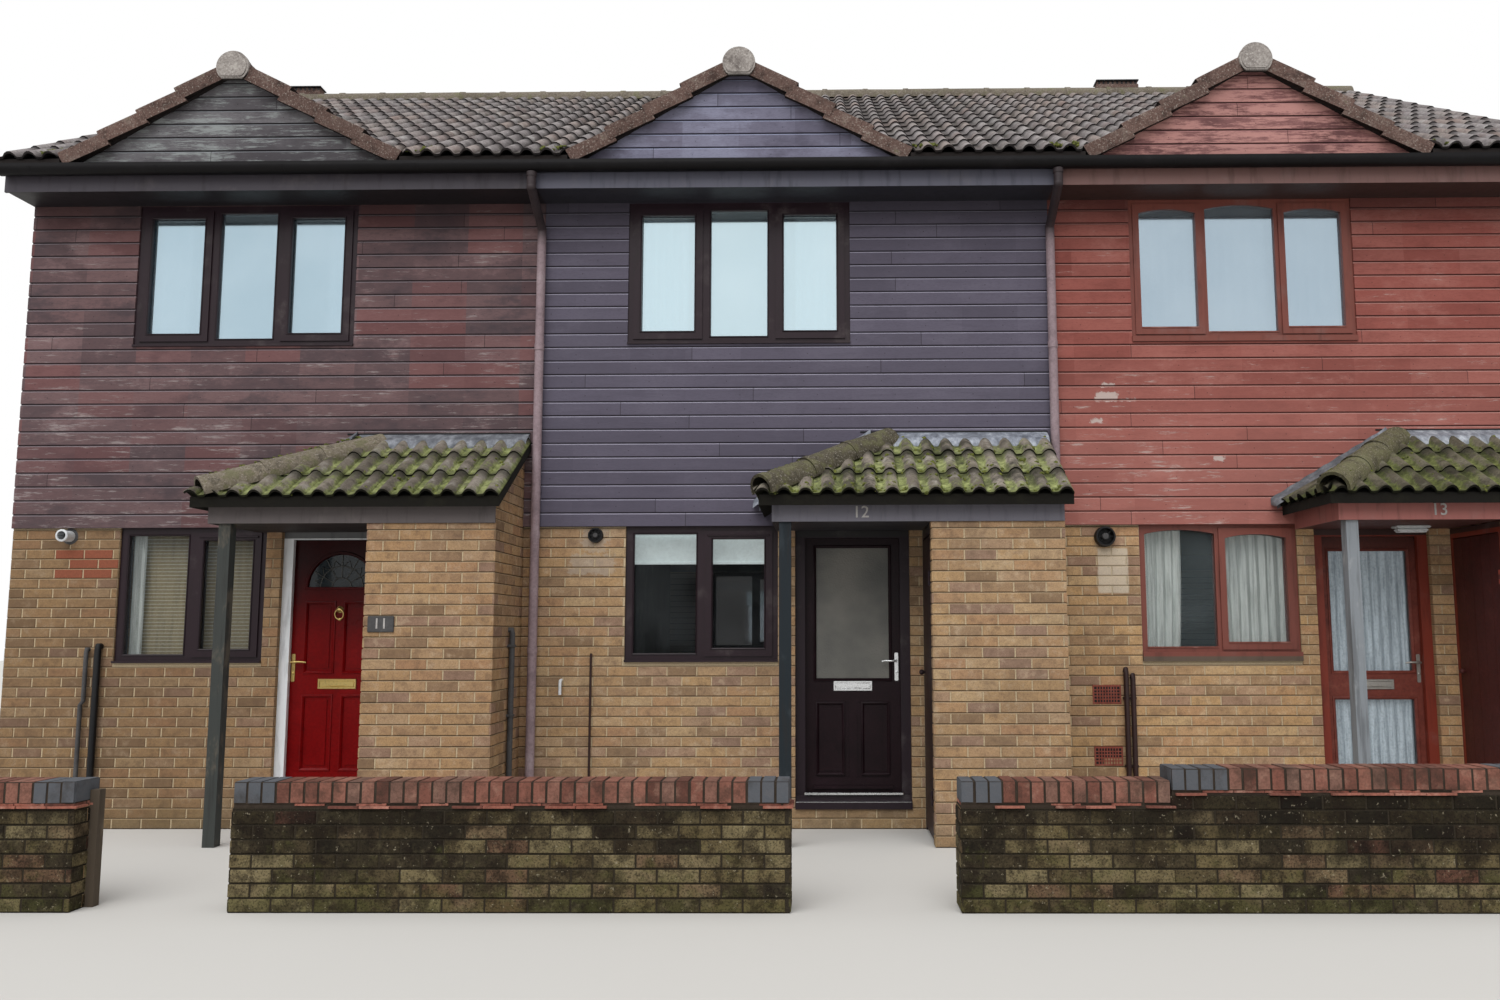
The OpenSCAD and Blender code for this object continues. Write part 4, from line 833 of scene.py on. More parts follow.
# Patterns.
def brick_pattern(name, inset_u, inset_v):
    """A unit brick whose front face is drawn in by its worn arrises."""
    u, v = 0.5 - inset_u, 0.5 - inset_v
    back = [(-0.5, 0.5, -0.5), (0.5, 0.5, -0.5), (0.5, 0.5, 0.5), (-0.5, 0.5, 0.5)]
    edge = [(x, -0.2, z) for x, _, z in back]
    face = [(-u, -0.5, -v), (u, -0.5, -v), (u, -0.5, v), (-u, -0.5, v)]
    build = Build()
    build.ring([back, edge, face], closed=False, caps=True)
    return pattern(name, build)


def tile_wave(x):
    """Height of the double-roll tile's face across its width, two rolls to a tile."""
    flat, pan = 0.28, 0.002
    turn = (x / (TILE_W / 2)) % 1.0
    if turn < flat:
        return pan
    return pan + 0.043 * math.sin(math.pi * (turn - flat) / 0.72) ** 0.75


def tile_pattern(name):
    """A double-roll tile, nose at Y = 0, its underside on the roof at Z = 0."""
    length, thick, overhang = 0.352, 0.016, 0.012
    half, cells = TILE_W / 2, 14
    across = [-half + TILE_W * i / cells for i in range(cells + 1)]
    build = Build()
    loops = []
    for y in (-overhang, length):
        top = [(x, y, tile_wave(x + half) + thick) for x in across]
        low = [(x, y, tile_wave(x + half) - 0.001) for x in reversed(across)]
        loops.append(top + low)
    build.ring(loops, closed=False)
    build.close_ends(cells, 2)
    # Values across and along the tile, which the tile finishes use for painted shade in the pans and towards
    # each head, and for moss.
    dip = build.bm.verts.layers.float.new("dip")
    shade_along = build.bm.verts.layers.float.new("shade_along")
    for v in build.bm.verts:
        v[dip] = max(0.0, 1.0 - tile_wave(v.co.x + half) / 0.030)
        v[shade_along] = max(0.0, v.co.y / length)
    return pattern(name, build)


def barrel_pattern(name, radius, length, thick=0.02, flare=0.06, sides=12, sweep=190.0):
    """A half-round ridge or hip tile along +Y, wider at its nose."""
    build = Build()
    loops = []
    for y, grow in ((0.0, flare), (0.05, flare), (0.06, 0.0), (length, 0.0)):
        r = radius * (1 + grow)
        angles = [math.radians(90 - sweep / 2 + sweep * i / sides) for i in range(sides + 1)]
        outer = [around(0, y, 0, r, a) for a in angles]
        inner = [around(0, y, 0, r - thick, a) for a in reversed(angles)]
        loops.append(outer + inner)
    build.ring(loops, closed=False, caps=True)
    return pattern(name, build)


def verge_pattern(name, side):
    """A verge tile: a hanging face and a flange over the slope; side tells where the face hangs."""
    profile = [(0.0, -0.100), (0.036, -0.100), (0.036, -0.016), (0.15, -0.016), (0.15, 0.012),
               (0.012, 0.014), (0.003, 0.010), (0.0, 0.0)]
    build = Build()
    loops = [[(side * (0.075 - x), y, z + lift) for x, z in profile]
             for y, lift in ((0.0, 0.022), (0.03, 0.022), (0.40, 0.0))]
    build.ring(loops, closed=False, caps=True)
    return pattern(name, build)


def lump_pattern(name):
    """An uneven ball."""
    build = Build()
    bmesh.ops.create_icosphere(build.bm, subdivisions=2, radius=0.5)
    for v in build.bm.verts:
        v.co *= 0.8 + 0.45 * noise.noise(v.co * 3.1 + Vector((3.0, 0, 0)))
    return pattern(name, build)


def creasing_pattern(name):
    """A thin tile with a broken front edge."""
    rand, cells = random.Random(5), 8
    build = Build()
    xs = [-0.5 + i / cells for i in range(cells + 1)]
    front = [(x, -0.5 - 0.06 * rand.random(), -0.5) for x in xs]
    loop_low = front + [(0.5, 0.5, -0.5), (-0.5, 0.5, -0.5)]
    loop_top = [(x, y + 0.01, 0.5) for x, y, _ in loop_low]
    build.ring([loop_low, loop_top], closed=False, caps=True)
    return pattern(name, build)


# Brickwork.
def spans_free(u0, u1, v, holes):
    """Free stretches of a course at height v between u0 and u1, outside the holes."""
    free = [(u0, u1)]
    for a, b, low, high in holes:
        if low < v < high:
            free = [s for x, y in free for s in ((x, min(y, a)), (max(x, b), y)) if s[1] - s[0] > 0.03]
    return free


def brickwork(origin, turn, u0, u1, v0, v1, holes=(), corner=None, shift=0, rand=None,
              bed=BED, length=STRETCHER, proud=0.005, limit=None):
    """Places of the bricks of one wall face; turn is its heading about Z, corner where the bond starts."""
    least, depth = 0.02, 0.012
    c, s = math.cos(turn), math.sin(turn)
    places = []
    corner = u0 if corner is None else corner
    for k in range(int(math.floor(v0 / bed)), int(math.ceil(v1 / bed))):
        low, high = max(v0, k * bed + JOINT / 2), min(v1, (k + 1) * bed - JOINT / 2)
        if high - low < least:
            continue
        middle = (low + high) / 2
        start, stop = (u0, u1) if limit is None else limit(u0, u1, high)
        for a, b in spans_free(start, stop, middle, holes):
            base = corner + (length / 2 if (k + shift) % 2 else 0.0)
            n = int(math.floor((a - base) / length))
            while base + n * length < b:
                x0 = max(a, base + n * length + JOINT / 2 * (base + n * length > a))
                x1 = min(b, base + (n + 1) * length - JOINT / 2 * (base + (n + 1) * length < b))
                n += 1
                if x1 - x0 < least:
                    continue
                u = (x0 + x1) / 2
                out = proud + rand.uniform(-0.0012, 0.0012) - depth / 2
                point = (origin[0] + c * u + s * out, origin[1] + s * u - c * out, middle)
                places.append((point, (x1 - x0, depth, high - low), (0.0, 0.0, turn), rand.random()))
    return places


def house_holes():
    """Openings of a ground floor wall as (x0, x1, z0, z1)."""
    holes = []
    for i, at in enumerate(HOUSE_AT):
        x = at + LOWER_X[i]
        holes.append((x - 0.002, x + LOWER_W[i] + 0.002, LOWER_Z - 0.002, ABOVE))
        holes.append((at + DOOR_X, at + DOOR_X + DOOR_W, PLINTH, ABOVE))
    return holes


def under_tiles(a, b, top):
    """Free stretch of a course on a store's side, below the porch tiles."""
    rise, head, boarding = math.tan(PORCH_PITCH), 2.86, 0.034
    reach = (top - (head - STORE_D * rise)) / rise
    return max(a, reach), (b if top < 2.25 else b - boarding)


def under_roof(a, b, top):
    """Free stretch of a course on an end wall, below both slopes of the roof."""
    overhang, cover = 0.43, 0.14
    inset = max(0.0, (top - (EAVES_Z + overhang * math.tan(PITCH) - cover)) / math.tan(PITCH))
    return a + inset, b - inset


def special_tone(place):
    """Tone of a front brick: a few near the left end are painted orange."""
    (x, _, z), tone = place[0], place[3]
    left, right, low, high, orange = -5.72, -5.26, 1.86, 2.13, 1.5
    inset = 0.12 if z < 2.03 else 0.0
    return orange if left + inset < x < right and low < z < high else tone


def lay_brickwork(finish_brick, finish_block):
    """Bricks of the front, the stores and the back, and the blocks of the end walls."""
    rand = random.Random(11)
    form = brick_pattern("brick_form", 0.016, 0.05)
    lap, leaf, store_top = 0.004, 0.1025, 2.222
    front = house_holes()
    for i, at in enumerate(HOUSE_AT):
        front.append((at + STORE_X[i] - lap, at + STORE_X[i] + STORE_W[i] - lap, -1.0, ABOVE))
    places = brickwork((0, FRONT), 0.0, -ROW_END, ROW_END, 0.0, BRICK_TOP, front, rand=rand)
    places = [p[:3] + (special_tone(p),) for p in places if p[0][2] > 0.004]
    laid("front_bricks", places, form, finish_brick, 0.003, 3, angle=25, slot="brick")
    places = []
    for i, at in enumerate(HOUSE_AT):
        x0, x1 = at + STORE_X[i], at + STORE_X[i] + STORE_W[i]
        y0 = FRONT - STORE_D
        for origin, turn, u0, u1, top, more in (
                ((x0, y0), 0.0, -lap, x1 - x0 + lap, store_top, {}),
                ((x1, y0), math.pi / 2, -lap, STORE_D, 2.80, {"shift": 1, "limit": under_tiles}),
                ((x0, y0 + leaf), -math.pi / 2, 0.0, leaf + lap, store_top, {})):
            places += brickwork(origin, turn, u0, u1, 0.0, top, rand=rand, corner=0.0, **more)
    laid("store_bricks", places, form, finish_brick, 0.003, 4, angle=25, slot="brick")
    flipped = [(-b, -a, low, high) for a, b, low, high in house_holes()]
    places = brickwork((0, REAR), math.pi, -ROW_END, ROW_END, 0.0, BRICK_TOP, flipped, rand=rand)
    laid("rear_bricks", places, form, finish_brick, 0.003, 5, angle=25, slot="brick")
    block = brick_pattern("block_form", 0.010, 0.02)
    places = []
    for side in (-1, 1):
        places += brickwork((side * ROW_END, FRONT if side > 0 else REAR), side * math.pi / 2, 0.0,
                            REAR - FRONT, 0.0, 7.1, rand=rand, bed=0.225, length=0.45, limit=under_roof)
    laid("end_blocks", places, block, finish_block, 0.0015, 6, angle=25, slot="blockwork")


def garden_runs():
    """Garden wall runs as (left, right, top of the brickwork, blue ends)."""
    g = [(HOUSE_AT[i] + a, HOUSE_AT[i] + b) for i, (a, b) in enumerate(GATES)]
    step = PARTY_X + 0.047
    return ((-ROW_END, g[0][0], GARDEN_H, (0, 3)), (g[0][1], g[1][0], GARDEN_H, (3, 3)),
            (g[1][1], step, GARDEN_H, (3, 0)), (step, g[2][0], GARDEN_H + GARDEN_STEP, (4, 3)),
            (g[2][1], ROW_END, GARDEN_H + GARDEN_STEP, (3, 0)))


def lay_garden(finish_brick, finish_coping, finish_creasing, finish_bed):
    """The low walls in front: bricks, two layers of creasing tiles on a bed, and a coping on edge."""
    rand = random.Random(23)
    form = brick_pattern("garden_form", 0.02, 0.06)
    walls, copings, creasings = [], [], []
    y0, y1 = GARDEN_Y, GARDEN_Y + GARDEN_T
    upright = Build()
    upright.box((-0.5, -0.5, -0.5), (0.5, 0.5, 0.5), 0.05, 2)
    coping_form = pattern("coping_form", upright)
    thin = creasing_pattern("creasing_form")
    bed = Build()
    for x0, x1, top, blues in garden_runs():
        bed.box((x0 + 0.004, y0 + 0.004, top - 0.02), (x1 - 0.004, y1 - 0.004, top + 0.024))
        bed.box((x0 + 0.006, y0, top + 0.023), (x1 - 0.006, y1, top + 0.135))
        wide, lap = x1 - x0, 0.004
        for origin, turn, u0, u1, shift in (((x0, y0), 0.0, -lap, wide + lap, 0),
                                            ((x1, y1), math.pi, -lap, wide + lap, 0),
                                            ((x1, y0), math.pi / 2, 0.0, GARDEN_T, 1),
                                            ((x0, y1), -math.pi / 2, 0.0, GARDEN_T, 1)):
            walls += brickwork(origin, turn, u0, u1, 0.0, top, rand=rand, corner=0.0, shift=shift)
        count = max(1, round(wide / BED))
        pitch = wide / count
        for i in range(count):
            blue = i < blues[0] or i >= count - blues[1]
            size = (pitch - 0.005 - 0.002 * rand.random(), GARDEN_T + 0.010 - 0.004 * rand.random(),
                    0.114 + 0.004 * rand.random())
            lift = top + 0.025 + 0.056 + rand.uniform(-0.0015, 0.0015)
            middle = (y0 + y1) / 2 + rand.uniform(-0.002, 0.002)
            copings.append(((x0 + pitch * (i + 0.5), middle, lift), size, (0, 0, rand.uniform(-0.01, 0.01)),
                            (2.0 if blue else 0.0) + rand.random()))
        count, depth = max(1, round(wide / 0.165)), 0.10
        pitch = wide / count
        for layer in range(2):
            z = top + 0.0065 + layer * 0.0125
            for i in range(count):
                x = x0 + pitch * (i + 0.5) + (0.0 if layer else 0.02)
                reach = rand.choice((0.016, 0.016, -0.010, -0.014, 0.013)) - 0.018 * layer
                for side, face in ((1, y0), (-1, y1)):
                    centre = face + side * (depth / 2 - reach)
                    creasings.append(((x, centre, z), (pitch - 0.004, depth, 0.0115),
                                      (0, 0, 0 if side > 0 else math.pi), rand.random()))
    bed.done("coping_bed", finish_bed, slot="coping_brick", replaces=("garden_coping",))
    laid("garden_bricks", walls, form, finish_brick, 0.004, 7, angle=25, slot="garden_brick")
    laid("coping_bricks", copings, coping_form, finish_coping, 0.006, 8, angle=40, slot="coping_brick")
    laid("creasing_tiles", creasings, thin, finish_creasing, 0.01, 9, angle=25, slot="coping_brick")


# Roof tiling.
def slope_tiles(eaves, across, up, count, courses, exposure, pitch, rand, turn_z, width=TILE_W):
    """Places of tiles on one slope: eaves is its lower corner, across and up are plan directions."""
    lean = pitch - math.atan(COURSE_DROP * math.cos(pitch) / exposure)
    places = []
    for k in range(courses):
        s = k * exposure
        for j in range(count):
            along = (j + 0.5) * width
            x = eaves[0] + across[0] * along + up[0] * s * math.cos(pitch)
            y = eaves[1] + across[1] * along + up[1] * s * math.cos(pitch)
            z = eaves[2] + s * math.sin(pitch) + 0.001
            places.append(((x, y, z), (width / TILE_W * 0.998, exposure / EXPOSURE, 1.0),
                           (lean + rand.uniform(-0.004, 0.004), rand.uniform(-0.004, 0.004), turn_z),
                           rand.random()))
    return places


def gablet_cut(gx, side, out):
    """The plane over a gablet's valley, moved out from it along the eaves."""
    toward = Vector((side * GABLET_RUN, GABLET_HALF, 0)).normalized()
    return Vector((gx + side * (GABLET_HALF + out), EAVES_Y, 0)), toward


def sorted_tiles(tiles):
    """The whole tiles of the front slope, and those that each gablet valley cuts, by (house, side)."""
    whole, cuts, half, length = [], {}, 0.16, 0.30
    for place in tiles:
        x, y, _ = place[0]
        kept = True
        for i, at in enumerate(HOUSE_AT):
            gx = at + GABLET_X[i]
            off = abs(x - gx)
            nose = GABLET_HALF * (1 - (y - EAVES_Y) / GABLET_RUN)
            head = GABLET_HALF * (1 - (y + length - EAVES_Y) / GABLET_RUN)
            if nose < 0 or off - half > nose:
                continue
            kept = False
            if off + half >= head:
                if x - gx < half:
                    cuts.setdefault((i, -1), []).append(place)
                if x - gx > -half:
                    cuts.setdefault((i, 1), []).append(place)
        if kept:
            whole.append(place)
    return whole, cuts


def lay_roof(finish):
    rand = random.Random(31)
    form = tile_pattern("roof_form")
    count, courses, edge = 40, 14, ROW_END + VERGE_OUT
    width = 2 * edge / count
    front = slope_tiles((-edge, EAVES_Y, EAVES_Z), (1, 0), (0, 1), count, courses, EXPOSURE,
                        PITCH, rand, 0.0, width)
    whole, cuts = sorted_tiles(front)
    meshes = [laid_mesh(whole, form, finish)]
    for (i, side), places in cuts.items():
        gx = HOUSE_AT[i] + GABLET_X[i]
        point, toward = gablet_cut(gx, side, 0.03)
        planes = [(point, -toward), (Vector((gx, 0, 0)), Vector((-side, 0, 0)))]
        meshes.append(trimmed(laid_mesh(places, form, finish), planes))
    joined("roof_tiles_front", meshes, finish, angle=50, slot="roof_tiles")
    rear = slope_tiles((edge, -EAVES_Y, EAVES_Z), (-1, 0), (0, -1), count, courses, EXPOSURE,
                       PITCH, rand, math.pi, width)
    laid("roof_tiles_rear", rear, form, finish, angle=50, slot="roof_tiles")
    meshes = []
    slope = GABLET_HALF / math.cos(GABLET_PITCH)
    for i, at in enumerate(HOUSE_AT):
        gx = at + GABLET_X[i]
        for side in (-1, 1):
            places = slope_tiles((gx + side * GABLET_HALF, EAVES_Y + 0.12, EAVES_Z), (0, 1), (-side, 0), 5,
                                 4, slope / 4, GABLET_PITCH, rand, side * math.pi / 2, 0.29)
            meshes.append(trimmed(laid_mesh(places, form, finish), [gablet_cut(gx, side, -0.03)]))
    joined("gablet_tiles", meshes, finish, angle=50, slot="roof_tiles")


def porch_span(i):
    """Left and right edge of a porch roof, and where its first tile starts."""
    left = HOUSE_AT[i] + PORCH_X[i] - PORCH_OUT
    right = HOUSE_AT[i] + STORE_X[i] + STORE_W[i] + PORCH_VERGE
    return left, right, right - math.ceil((right - left) / TILE_W) * TILE_W


def moss_lump(rand, point, big, high, long=1.3, lean=0.4):
    """Place of one moss cushion, big across, high and long in shares of that."""
    return point, (big * long, big, big * high), (lean, 0, rand.uniform(0, 6.28)), rand.random()


def porch_moss(rand, i, slope, courses):
    """Cushions at the noses and in the pans of a porch's tiles, then along its hip."""
    left, right, first = porch_span(i)
    eaves_y = FRONT - PORCH_RUN
    on_tiles, on_hip, swell = ((150, 60, 1.0), (330, 170, 1.35), (210, 110, 1.0))[i]
    lumps = []
    for _ in range(on_tiles):
        course = rand.choice((0, 0, 1, 1, 2))
        x = rand.uniform(left + 0.1, right - 0.03)
        s = course * slope / courses + rand.choice((-0.008, -0.004, 0.01, 0.05, 0.2))
        s += rand.uniform(-0.01, 0.03)
        y = eaves_y + s * math.cos(PORCH_PITCH)
        if x - left < y - eaves_y + 0.08:
            continue
        z = PORCH_Z + s * math.sin(PORCH_PITCH) + tile_wave(x - first) + 0.014
        lumps.append(moss_lump(rand, (x, y, z), rand.uniform(0.012, 0.034) * swell, 0.75, lean=PORCH_PITCH))
    for _ in range(on_hip):
        s = rand.uniform(0.05, slope * 0.98) / slope
        across = rand.uniform(-0.085, 0.085)
        x = left + PORCH_RUN * s + across * 0.7
        y = eaves_y + PORCH_RUN * s - across * 0.7
        z = PORCH_Z + 0.030 + 0.46 * s + math.sqrt(0.0125 - across ** 2) - 0.012
        if y <= -3.66:
            lumps.append(moss_lump(rand, (x, y, z), rand.uniform(0.015, 0.045), 0.55))
    return lumps


def gablet_moss(rand, i):
    """Cushions on the main slope beside the feet of a gablet."""
    lumps, rise = [], 0.577              # rise is that of the main slope
    for side in (-1, 1):
        x = HOUSE_AT[i] + GABLET_X[i] + side * (GABLET_HALF + 0.02)
        for _ in range(16):
            big = rand.uniform(0.018, 0.040)
            y = rand.uniform(-4.015, -3.80)
            point = (x + side * rand.uniform(0.0, 0.20), y, EAVES_Z + (y - EAVES_Y) * rise + 0.040)
            lumps.append(moss_lump(rand, point, big, 0.8, 1.4, 0.5))
    return lumps


def lay_porches(finish, finish_moss):
    rand = random.Random(41)
    form = tile_pattern("porch_form")
    meshes, lumps = [], []
    slope, courses = PORCH_RUN / math.cos(PORCH_PITCH), 3
    eaves_y = FRONT - PORCH_RUN
    keep = Vector((-1, 1, 0)).normalized()
    for i in range(3):
        left, right, first = porch_span(i)
        count = math.ceil((right - left) / TILE_W)
        front = slope_tiles((first, eaves_y, PORCH_Z), (1, 0), (0, 1), count, courses,
                            slope / courses, PORCH_PITCH, rand, 0.0)
        corner = Vector((left, eaves_y, 0))
        meshes.append(trimmed(laid_mesh(front, form, finish, 0.006, 12 + i), [(corner, keep)]))
        side = slope_tiles((left, -3.634, PORCH_Z), (0, -1), (1, 0), 3, courses, slope / courses,
                           PORCH_PITCH, rand, -math.pi / 2)
        meshes.append(trimmed(laid_mesh(side, form, finish, 0.006, 15 + i),
                              [(corner, -keep), before(-3.631)]))
        lumps += porch_moss(rand, i, slope, courses)
    for i in range(3):
        lumps += gablet_moss(rand, i)
    joined("porch_tiles", meshes, finish, angle=50, slot="porch_tiles")
    laid("moss_cushions", lumps, lump_pattern("moss_form"), finish_moss, 0.2, 19, angle=80,
         slot="porch_tiles")


def lay_main_ridge(finish, rand):
    """Ridge tiles from end to end; the first reaches as far out as the verge."""
    count, edge = 27, ROW_END + VERGE_OUT
    pitch = (2 * ROW_END + 0.058) / (count + 0.023)
    places = [((-edge + pitch * k, 0.0, RIDGE_Z - 0.024), (1, pitch / 0.45, 1),
               (rand.uniform(-0.006, 0.006), 0, -math.pi / 2), rand.random()) for k in range(count)]
    laid("ridge_tiles", places, barrel_pattern("ridge_form", 0.118, 0.46), finish, 0.004, 21, angle=45,
         replaces=("ridge",), slot="roof_tiles")


def ridge_flues(finish, finish_cap):
    """Two louvred outlets on the ridge."""
    flues, caps = Build(), Build()
    for x in (HOUSE_AT[0] - 1.675, HOUSE_AT[2] - 0.455):
        z = RIDGE_Z + 0.085
        flues.bar(x, 0.233, -0.07, 0.07, z - 0.02, z + 0.03, 0.006)
        flues.bar(x, 0.222, -0.058, 0.058, z + 0.03, z + 0.066, 0.004)
        caps.bar(x, 0.2345, -0.08, 0.08, z + 0.062, z + 0.078, 0.004)
        for k in range(9):
            caps.box((x - 0.21 + k * 0.05, -0.062, z + 0.034), (x - 0.19 + k * 0.05, 0.062, z + 0.060))
    flues.done("ridge_flues", finish, slot="roof_tiles")
    caps.done("ridge_flue_caps", finish_cap, slot="roof_tiles")


def lay_gablet_ridges(finish, finish_end, rand):
    """Ridge, verge tiles and round block ends of the gablets."""
    short = barrel_pattern("gablet_ridge_form", 0.112, 0.40)
    places, lefts, rights = [], [], []
    run = GABLET_HALF / math.cos(GABLET_PITCH)
    nose, gauge = -4.02, 0.34
    for i, at in enumerate(HOUSE_AT):
        gx = at + GABLET_X[i]
        for k in range(4):
            point = (gx, nose + k * gauge, GABLET_TOP - 0.066)
            places.append((point, (1, 0.95, 1), (0, 0, 0), rand.random()))
        for side, group in ((-1, lefts), (1, rights)):
            for k in range(4):
                s = 0.335 * k
                long_y = 0.94 if k < 3 else (run - s + 0.03) / 0.40
                x = gx + side * (GABLET_HALF - s * math.cos(GABLET_PITCH))
                z = EAVES_Z + s * math.sin(GABLET_PITCH) + 0.010 + rand.uniform(0.000, 0.007)
                group.append(((x, -3.962 + rand.uniform(-0.003, 0.003), z), (1, long_y, 1),
                              (GABLET_PITCH - 0.032 + rand.uniform(-0.006, 0.006), 0, side * math.pi / 2),
                              rand.random()))
    ends = trimmed(laid_mesh(places, short, finish, 0.006, 22), [before(EAVES_Y + GABLET_RUN + 0.18)])
    foot = [(Vector((0, 0, EAVES_Z - 0.048)), Vector((0, 0, -1)))]
    forms = (verge_pattern("verge_left", 1), verge_pattern("verge_right", -1))
    verges = [trimmed(laid_mesh(group, form, finish, 0.006, 23 + k), foot)
              for k, (group, form) in enumerate(zip((lefts, rights), forms))]
    shown("gablet_ridge_tiles", ends, finish, angle=45, slot="roof_tiles")
    joined("verge_tiles", verges, finish, angle=40, replaces=("gablet_ridges",), slot="roof_tiles")
    discs = Build()
    outer, inner = 0.125, 0.108
    low = math.asin(0.097 / outer)
    arc = [-low + (math.pi + 2 * low) * k / 30 for k in range(31)]
    for i, at in enumerate(HOUSE_AT):
        gx, z = at + GABLET_X[i], GABLET_TOP - 0.064
        for r, y0, y1 in ((outer, -4.056, nose), (inner, -4.062, -4.05)):
            discs.plate([around(gx, y0, z, r, a)[::2] for a in arc], y0, y1, 0.005)
    discs.done("block_ends", finish_end, slot="roof_tiles")


def lay_hips(finish, rand):
    """Three hip tiles on each porch, from its left corner up to the boarding."""
    form = barrel_pattern("hip_form", 0.112, 0.46, 0.022, 0.05, 14, 205)
    meshes = []
    for i in range(3):
        left = porch_span(i)[0]
        start = Vector((left + (0.06, 0.02, 0.03)[i], FRONT - PORCH_RUN + 0.02, PORCH_Z + 0.035))
        end = Vector((left + (1.00, 0.94, 0.87)[i], FRONT - 0.05, (2.880, 2.905, 2.897)[i]))
        along = end - start
        lean = math.asin(along.z / along.length)
        turn = math.atan2(-along.x, along.y)
        step = (along.length - 0.02) / 3
        places = [(start + along.normalized() * step * k, (1 + 0.03 * (k % 2), (step + 0.05) / 0.46, 1),
                   (lean - 0.015 + rand.uniform(-0.02, 0.02), 0, turn), rand.random()) for k in range(3)]
        meshes.append(trimmed(laid_mesh(places, form, finish, 0.015, 31 + i), [before(BOARD_FACE)]))
    joined("hip_tiles", meshes, finish, angle=45, replaces=("porch_hips",), slot="roof_tiles")


def lead_aprons(finish, dark):
    """Lead dressed over the top tiles of each porch, and down the wall beside its left slope, with a dark
    strip of painted shadow above each.
    """
    build, shade = Build(), Build()
    slope = math.tan(PORCH_PITCH)
    crest, tucked = 0.064, -3.6290       # height over the plane, and y of the edge in the wall
    head = 2.978

    def plane(y):
        return PORCH_Z + (y - (FRONT - PORCH_RUN)) * slope

    for i in range(3):
        left, right, first = porch_span(i)
        start, stop = left + PORCH_RUN - 0.05, right - 0.012
        steps = int((stop - start) / 0.015)
        loops = []
        for k in range(steps + 1):
            x = start + (stop - start) * k / steps
            wave = tile_wave(x - first)
            lip = -3.726 - ROLL_H * (1 - wave / ROLL_H)
            top = [(BOARD_FACE, head), (-3.640, head - 0.004), (-3.70, plane(-3.70) + crest),
                   (-3.722, plane(-3.722) + crest - 0.001), (lip, plane(lip) + wave + 0.019)]
            low = [(y + 0.001, z - 0.004) for y, z in reversed(top)]
            loops.append([(x, y, z) for y, z in [(tucked, head)] + top + low[:-1] + [(tucked, head - 0.010)]])
        build.ring(loops, closed=False, caps=True)
        # Painted shadow: a thin dark strip just above each apron, under the boarding's edge.
        shade.box((start - 0.10, BOARD_FACE, head), (stop + 0.006, -3.6265, head + 0.012), 0.002)
        loops = []
        for k in range(25):
            x = left - 0.085 + 0.90 * k / 24
            z = PORCH_Z + (x - left) * slope + 0.004 * math.sin(k * 1.9)
            loops.append([(x, y, z + h) for y, h in (
                (tucked, 0.112), (BOARD_FACE, 0.112), (-3.641, 0.100), (-3.695, 0.070), (-3.730, 0.050),
                (-3.737, 0.040), (-3.730, 0.036), (tucked, 0.060))])
        build.ring(loops, closed=False, caps=True)
    build.done("lead_aprons", finish, angle=60, slot="lead")
    shade.done("apron_reveals", dark, slot="lead")


# Windows.
def pane_holes(i, upper):
    """Lights of a window as (x0, x1, z0, z1, face y) in the house, as in the frames."""
    face, sash, mullion, sill = (0.045, 0.035, 0.042, 0.052) if i == 2 else (0.054, 0.040, 0.066, 0.0)
    if upper:
        x0, w, z0, z1 = GABLET_X[i] - 0.022 - UPPER_W / 2, UPPER_W, UPPER_Z + sill / 2, SOFFIT
        shares, opens, y = ((1, 1.05, 1) if i == 2 else (1, 0.9, 1)), (True, False, True), FRONT - 0.014
    else:
        x0, w, z0, z1 = LOWER_X[i], LOWER_W[i], LOWER_Z + sill, LOWER_TOP
        shares, opens, y = (1, 1), (False, True), FRONT + 0.018
    free = w - 2 * face - (len(shares) - 1) * mullion
    x, lights = x0 + face, []
    for share, opened in zip(shares, opens):
        wide = free * share / sum(shares)
        edge = sash if opened else 0.0
        lights.append((x + edge, x + wide - edge, z0 + face + edge, z1 - face - edge, y - 0.012 * opened))
        x += wide + mullion
    return lights


def window_beads(dark, timber):
    """Glazing beads round each light, and drip bars over the opening ones."""
    plain, stained = Build(), Build()
    profile = [(0.0, 0.0), (0.0, -0.004), (0.004, -0.007), (0.011, -0.002), (0.013, 0.020), (0.0, 0.020)]
    for i, at in enumerate(HOUSE_AT):
        for upper in (False, True):
            for x0, x1, z0, z1, y in pane_holes(i, upper):
                if i < 2:
                    plain.mitred(at + x0, at + x1, z0, z1, y, profile)
                else:
                    stained.box((at + x0, y - 0.005, z0), (at + x1, y + 0.012, z0 + 0.012), 0.002)
        if i < 2:
            x0, x1, z0, z1, y = pane_holes(i, False)[1]
            plain.box((at + x0 - 0.03, y - 0.012, z1 + 0.012), (at + x1 + 0.03, y + 0.002, z1 + 0.026), 0.003)
    plain.done("glazing_beads", dark, slot="window_frames")
    stained.done("timber_beads", timber, slot="window_frames")


